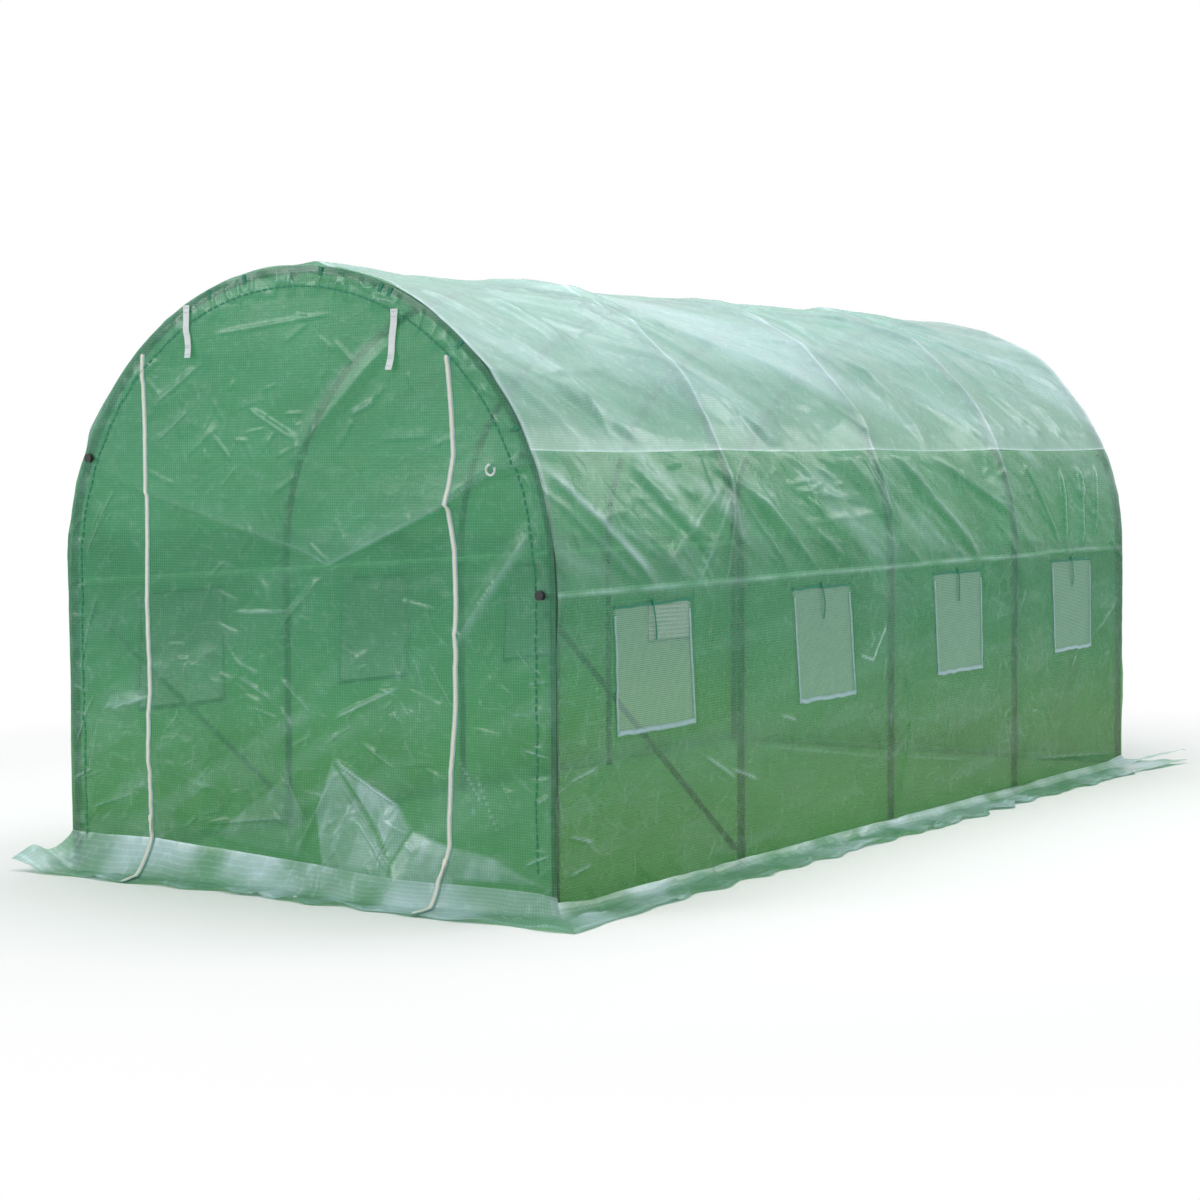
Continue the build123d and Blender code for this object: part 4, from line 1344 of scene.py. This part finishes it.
netArea = 4 * (2 * window["height"] * window["width"] / meshLook["pitch"])
netArea = netArea * (meshLook["thread"] + meshLook["thickness"])
for side, sideName in ((1, "right"), (-1, "left")):
    strands, tapes, heads, stitches, ties = [], [], [], [], []
    for bay, place in enumerate(bayPlaces):
        strands += netParts(side, place)
        for edge in windowEdges(place):
            tapes.append(edgeTape(side, *edge))
            stitches += edgeStitches(side, *edge)
        heads.append(headTape(side, place))
        ties += tieParts(side, bay, place)
    net = addParts(sideName + "WindowNets", strands, strand, smooth=False)
    addPiece(net, "window_mesh", sideName + "_window_meshes")
    addPiece(addParts(sideName + "WindowTapes", tapes, tape), "edge_tape", sideName + "_window_trims")
    addPiece(addParts(sideName + "WindowStitches", stitches, strand, smooth=False), "edge_tape")
    addPiece(addParts(sideName + "WindowHeads", heads, green), "green_tape")
    addPiece(addParts(sideName + "WindowTies", ties, green), "green_tape", sideName + "_window_ties")
print("windows netted, taped and tied")


def frontPlace(x, z, proud):
    x, z = np.broadcast_arrays(np.asarray(x, dtype=float), np.asarray(z, dtype=float))
    lift = frontSheet(x.copy(), z.copy())[0]
    return np.stack([x, -filmEnd - lift - proud, z], axis=-1)


zipLook = {
    "tape": 0.019, "coil": 0.0095, "thickness": 0.0012,
    "tooth": (0.0021, 0.0085, 0.0016), "toothGap": 0.0032, "toothSide": 0.002, "toothOut": 0.0031,
    "step": 0.012, "groundSteps": 20, "groundEnd": 0.985,
    "sliderUp": 6, "slider": (0.020, 0.014, 0.007), "pull": (0.034, 0.008, 0.002), "softEdge": 0.0015,
}
zips = {
    # height of its head, where it meets the skirt, and where it ends out on the skirt
    "leftZip": {"head": 1.735, "foot": -0.63, "end": -0.575},
    "rightZip": {"head": 1.70, "foot": 0.6, "end": 0.625},
}


def zipPath(zipName):
    # down the front, then out over the skirt; also how many points lie on the front
    look = zips[zipName]
    heights = np.arange(look["head"], np.interp(look["foot"], *footLine), -zipLook["step"])
    line = np.interp(heights, front["zipZ"], front[zipName])
    share = np.linspace(0, 1, zipLook["groundSteps"])[1:]
    ground = line[-1] + (look["end"] - line[-1]) * share
    ground = skirtPoints("front", ground, share * zipLook["groundEnd"])[0]
    ground = ground + np.array([0, -0.001, 0.0035])
    return np.concatenate([frontPlace(line, heights, 0.0006), ground]), len(heights)


def unit(vectors):
    return vectors / np.linalg.norm(vectors, axis=1)[:, None]


def sampled(values, run, places):
    # values along a path, read off at other places along it
    return np.stack([np.interp(places, run, values[:, axis]) for axis in range(3)], axis=-1)


tapes, coils, teeth, sliders = [], [], [], []
for zipName in zips:
    path, frontCount = zipPath(zipName)
    ahead = unit(np.gradient(path, axis=0))
    sideways = np.tile([1.0, 0.0, 0.0], (len(path), 1))
    sideways = unit(sideways - ahead * np.sum(sideways * ahead, axis=1)[:, None])
    outward = np.cross(sideways, ahead)
    outward *= np.sign(np.sum(outward * np.array([0, -1.0, 0.4]), axis=1))[:, None]
    thickness = zipLook["thickness"]
    tapes.append(ribbonParts(path, sideways, outward, zipLook["tape"], thickness))
    coils.append(ribbonParts(path + outward * thickness, sideways, outward, zipLook["coil"], thickness))
    run = np.concatenate([[0], np.cumsum(np.linalg.norm(np.diff(path, axis=0), axis=1))])
    places = np.arange(0.004, run[-1] - 0.004, zipLook["toothGap"])
    aheads, sides, outs = (sampled(values, run, places) for values in (ahead, sideways, outward))
    offset = np.where(np.arange(len(places)) % 2 == 0, 1, -1)[:, None] * zipLook["toothSide"]
    spots = sampled(path, run, places) + outs * zipLook["toothOut"] + sides * offset
    teeth += blockParts(spots, aheads, sides, outs, zipLook["tooth"])
    spot = frontCount - zipLook["sliderUp"]
    for size, shift, proud in ((zipLook["slider"], 0.0, 0.005), (zipLook["pull"], -0.026, 0.0075)):
        place = path[spot] - ahead[spot] * shift + outward[spot] * proud
        sliders += blockParts([place], [ahead[spot]], [sideways[spot]], [outward[spot]], size)
addPiece(addParts("zipTapes", tapes, tape), "zip_tape", "door_zips")
addPiece(addParts("zipCoils", coils, cream), "zip_tape")
addPiece(addParts("zipTeeth", teeth, cream, smooth=False), "zip_tape")
slider = addPiece(addParts("zipSliders", sliders, cream, smooth=False), "zip_tape")
bevel = slider.modifiers.new("softEdges", "BEVEL")
bevel.width = zipLook["softEdge"]
bevel.segments = 2
print("zips sewn in")

outFront = (0.0, -1.0, 0.0)


def frontBlock(spot, along, size):
    # a small block lying flat on the front, its length along the given way
    across = (-along[2], 0.0, along[0])
    return blockParts([spot], [along], [across], [outFront], size)


strapLook = {
    "width": 0.025, "thickness": 0.0016, "steps": 24, "doubled": 0.32,
    "patch": (0.027, 0.016, 0.0016), "stitch": (0.019, 0.0014, 0.0009), "stitchRows": (1, 3, 18, 19, 22),
}
strapEnds = ((-0.444, 1.889, -0.430, 1.722), (0.416, 1.848, 0.398, 1.664))  # x and z of head and foot
crosswise = (1.0, 0.0, 0.0)
straps, strapThread = [], []
for startX, startZ, endX, endZ in strapEnds:
    share = np.linspace(0, 1, strapLook["steps"])
    path = frontPlace(startX + (endX - startX) * share, startZ + (endZ - startZ) * share, 0.003)
    path[:, 1] -= 0.010 * share**2 + 0.003 * np.sin(share * 7) + 0.001
    path[:, 0] += 0.002 * np.sin(share * 9)
    across = np.tile(crosswise, (len(path), 1))
    outward = np.tile(outFront, (len(path), 1))
    straps.append(ribbonParts(path, across, outward, strapLook["width"], strapLook["thickness"]))
    turned = share > 1 - strapLook["doubled"]  # the end is turned back on itself and sewn
    layer = path[turned] + np.array([0.0012, -0.0022, -0.004])
    narrow = strapLook["width"] * 0.94
    straps.append(ribbonParts(layer, across[turned], outward[turned], narrow, strapLook["thickness"]))
    straps += frontBlock(path[1] + np.array([0, -0.0015, 0]), crosswise, strapLook["patch"])
    for row in strapLook["stitchRows"]:
        spot = path[row] + np.array([0, -0.0045 if turned[row] else -0.003, 0])
        strapThread += frontBlock(spot, crosswise, strapLook["stitch"])
addPiece(addParts("strapStitches", strapThread, tape, smooth=False), "webbing")
addPiece(addParts("doorStraps", straps, white), "webbing", "door_straps")

ringLook = {"x": 0.791, "z": 1.349, "radius": 0.016, "wire": 0.0035, "open": 70, "turned": 60, "steps": 40}
turns = np.linspace(ringLook["open"] / 2, 360 - ringLook["open"] / 2, ringLook["steps"])
turns = np.radians(turns + ringLook["turned"])
middle = frontPlace(ringLook["x"], ringLook["z"], 0.007)
ring = np.stack([np.cos(turns), np.zeros_like(turns), np.sin(turns)], axis=-1)
path = middle + ringLook["radius"] * ring
addPiece(addParts("foldRing", [tubeParts(path, ringLook["wire"], 12)], white), "webbing")
print("straps and ring hung")

seamLook = {"inset": 0.066, "straight": 0.88, "foot": 0.12, "gap": 0.026, "dash": (0.018, 0.0055, 0.0014)}
seamRadius = tunnel["radius"] - seamLook["inset"]
straight = seamLook["straight"]
arcEnd = straight + math.pi * seamRadius
dashes = []
for reach in np.arange(0.0, arcEnd + straight, seamLook["gap"]):
    # up the left, over the arch and down the right
    if reach < straight:
        x, z, way = -seamRadius, seamLook["foot"] + reach, (0.0, 0.0, 1.0)
    elif reach < arcEnd:
        turn = math.pi - (reach - straight) / seamRadius
        x, z = seamRadius * math.cos(turn), tunnel["springing"] + seamRadius * math.sin(turn)
        way = (math.sin(turn), 0.0, -math.cos(turn))
    else:
        x, z, way = seamRadius, tunnel["springing"] - (reach - arcEnd), (0.0, 0.0, -1.0)
    dashes += frontBlock(frontPlace(x, z, 0.0026), way, seamLook["dash"])
addPiece(addParts("frontSeam", dashes, green, smooth=False), "green_tape")

tabLook = {"inset": 0.018, "size": (0.03, 0.014, 0.0018)}
tabSpots = (
    (-0.35, 1.93), (-0.2, 1.972), (0.12, 1.985), (0.36, 1.925), (0.395, 1.91), (0.66, 1.735), (0.87, 1.475),
)
tabs = []
for x, z in tabSpots:
    turn = math.atan2(z - tunnel["springing"], x)
    reach = filmRadius - tabLook["inset"]
    way = (math.cos(turn), 0.0, math.sin(turn))
    spot = frontPlace(reach * way[0], tunnel["springing"] + reach * way[2], 0.001)
    tabs += frontBlock(spot, way, tabLook["size"])
addPiece(addParts("hemTabs", tabs, green, smooth=False), "green_tape")

knobLook = {"radius": 0.015, "length": 0.02}
knobSpots = (
    # place, and which way it points along the tunnel
    (-shoulderX - 0.005, -filmEnd, shoulderZ, -1),
    (shoulderX + 0.005, filmEnd, shoulderZ, 1),
    (purlinLook["line"] - 0.01, -filmEnd, 0.972, -1),
)
knobs = []
for x, y, z, way in knobSpots:
    reach = way * knobLook["length"]
    knobs.append(tubeParts([(x, y, z), (x, y + reach * 0.3, z), (x, y + reach, z)], knobLook["radius"], 20))
addPiece(addParts("endKnobs", knobs, black), "black_plastic")
print("front hem stitched, knobs on")

floorLook = {"half": 30.0, "low": -0.0005, "colour": (0.90, 0.90, 0.90), "shadowReach": (2.8, 5.0)}
floorMaterial, tree, output = newMaterial("floor")
diffuse = addNode(tree, "ShaderNodeBsdfDiffuse", (0, 0))
diffuse.inputs[0].default_value = (*floorLook["colour"], 1.0)
bright = addNode(tree, "ShaderNodeEmission", (0, -200), Strength=1.0)
where = addNode(tree, "ShaderNodeTexCoord", (-800, 0))
away = addNode(tree, "ShaderNodeVectorMath", (-600, 0), operation="LENGTH")
tree.links.new(where.outputs["Object"], away.inputs[0])
edge = mapRange(tree, (-400, 0), away.outputs["Value"], floorLook["shadowReach"], (0.0, 1.0))
rays = addNode(tree, "ShaderNodeLightPath", (-600, 300))
fade = math2(tree, (-200, 150), "MULTIPLY", edge, rays.outputs["Is Camera Ray"])
clearView = math2(tree, (-400, 450), "LESS_THAN", rays.outputs["Transparent Depth"], 0.5)
fade = math2(tree, (0, 250), "MULTIPLY", fade, clearView)
both = addNode(tree, "ShaderNodeMixShader", (300, 0))
tree.links.new(fade, both.inputs[0])
tree.links.new(diffuse.outputs[0], both.inputs[1])
tree.links.new(bright.outputs[0], both.inputs[2])
tree.links.new(both.outputs[0], output.inputs[0])
corners = [(-1, -1), (1, -1), (1, 1), (-1, 1)]
corners = [(x * floorLook["half"], y * floorLook["half"], floorLook["low"]) for x, y in corners]
floor = addMesh("floor", corners, [[0, 1, 2, 3]], floorMaterial, smooth=False)

worldLook = {"ambient": 0.30, "tint": (0.95, 0.98, 1.0)}
world = bpy.data.worlds.new("studio")
bpy.context.scene.world = world
world.use_nodes = True
tree = world.node_tree
tree.nodes.clear()
rays = addNode(tree, "ShaderNodeLightPath", (-600, 200))
seen = addNode(tree, "ShaderNodeBackground", (-300, 100), Strength=1.0)
seen.inputs[0].default_value = (1, 1, 1, 1)
glow = addNode(tree, "ShaderNodeBackground", (-300, -100), Strength=worldLook["ambient"])
glow.inputs[0].default_value = (*worldLook["tint"], 1.0)
both = addNode(tree, "ShaderNodeMixShader", (0, 0))
worldOut = addNode(tree, "ShaderNodeOutputWorld", (200, 0))
shown = math2(tree, (-400, 350), "MAXIMUM", rays.outputs["Is Camera Ray"], rays.outputs["Is Glossy Ray"])
shown = math2(tree, (-200, 350), "MAXIMUM", shown, rays.outputs["Is Transmission Ray"])
clearView = math2(tree, (-200, 500), "LESS_THAN", rays.outputs["Transparent Depth"], 0.5)
dimmed = math2(tree, (0, 500), "MULTIPLY_ADD", clearView, 0.6, 0.4)  # behind the film it is dimmer
shown = math2(tree, (0, 350), "MULTIPLY", shown, dimmed)
tree.links.new(shown, both.inputs[0])
tree.links.new(glow.outputs[0], both.inputs[1])
tree.links.new(seen.outputs[0], both.inputs[2])
tree.links.new(both.outputs[0], worldOut.inputs[0])

lamps = {
    "overhead": {"place": (0.3, -0.3, 7.0), "aim": (0.0, 0.0, 0.5), "size": (8.0, 9.0), "power": 620},
    "rearRight": {"place": (6.6, 9.0, 6.0), "aim": (0.6, 0.0, 1.0), "size": (6.0, 2.6), "power": 200},
    "frontLeft": {"place": (-6.2, -9.6, 4.6), "aim": (0.0, -2.0, 1.0), "size": (5.0, 2.4), "power": 270},
}
for lampName, look in lamps.items():
    light = bpy.data.lights.new(lampName, "AREA")
    light.shape = "RECTANGLE"
    light.energy = look["power"]
    light.size, light.size_y = look["size"]
    lamp = bpy.data.objects.new(lampName, light)
    lamp.visible_camera = False
    bpy.context.scene.collection.objects.link(lamp)
    lamp.location = look["place"]
    lamp.rotation_euler = (Vector(look["aim"]) - Vector(look["place"])).to_track_quat("-Z", "Y").to_euler()
print("floor, light and world set")

cameraLook = {"place": (5.351, -8.688, 1.386), "yaw": -33.06, "pitch": -3.15, "roll": -0.34, "lens": 77.95}
yaw, pitch, roll = (math.radians(cameraLook[key]) for key in ("yaw", "pitch", "roll"))
ahead = Vector((math.sin(yaw) * math.cos(pitch), math.cos(yaw) * math.cos(pitch), math.sin(pitch)))
level = Vector((math.cos(yaw), -math.sin(yaw), 0.0))
upright = level.cross(ahead)
right = level * math.cos(roll) + upright * math.sin(roll)
above = upright * math.cos(roll) - level * math.sin(roll)
cameraData = bpy.data.cameras.new("photoCamera")
cameraData.lens = cameraLook["lens"]
cameraData.sensor_width = 36.0
camera = bpy.data.objects.new("photoCamera", cameraData)
bpy.context.scene.collection.objects.link(camera)
turned = Matrix((right, above, -ahead)).transposed().to_4x4()
camera.matrix_world = Matrix.Translation(cameraLook["place"]) @ turned
bpy.context.scene.camera = camera
bpy.context.scene.view_settings.view_transform = "Standard"
print("camera set")

bpy.context.view_layer.update()
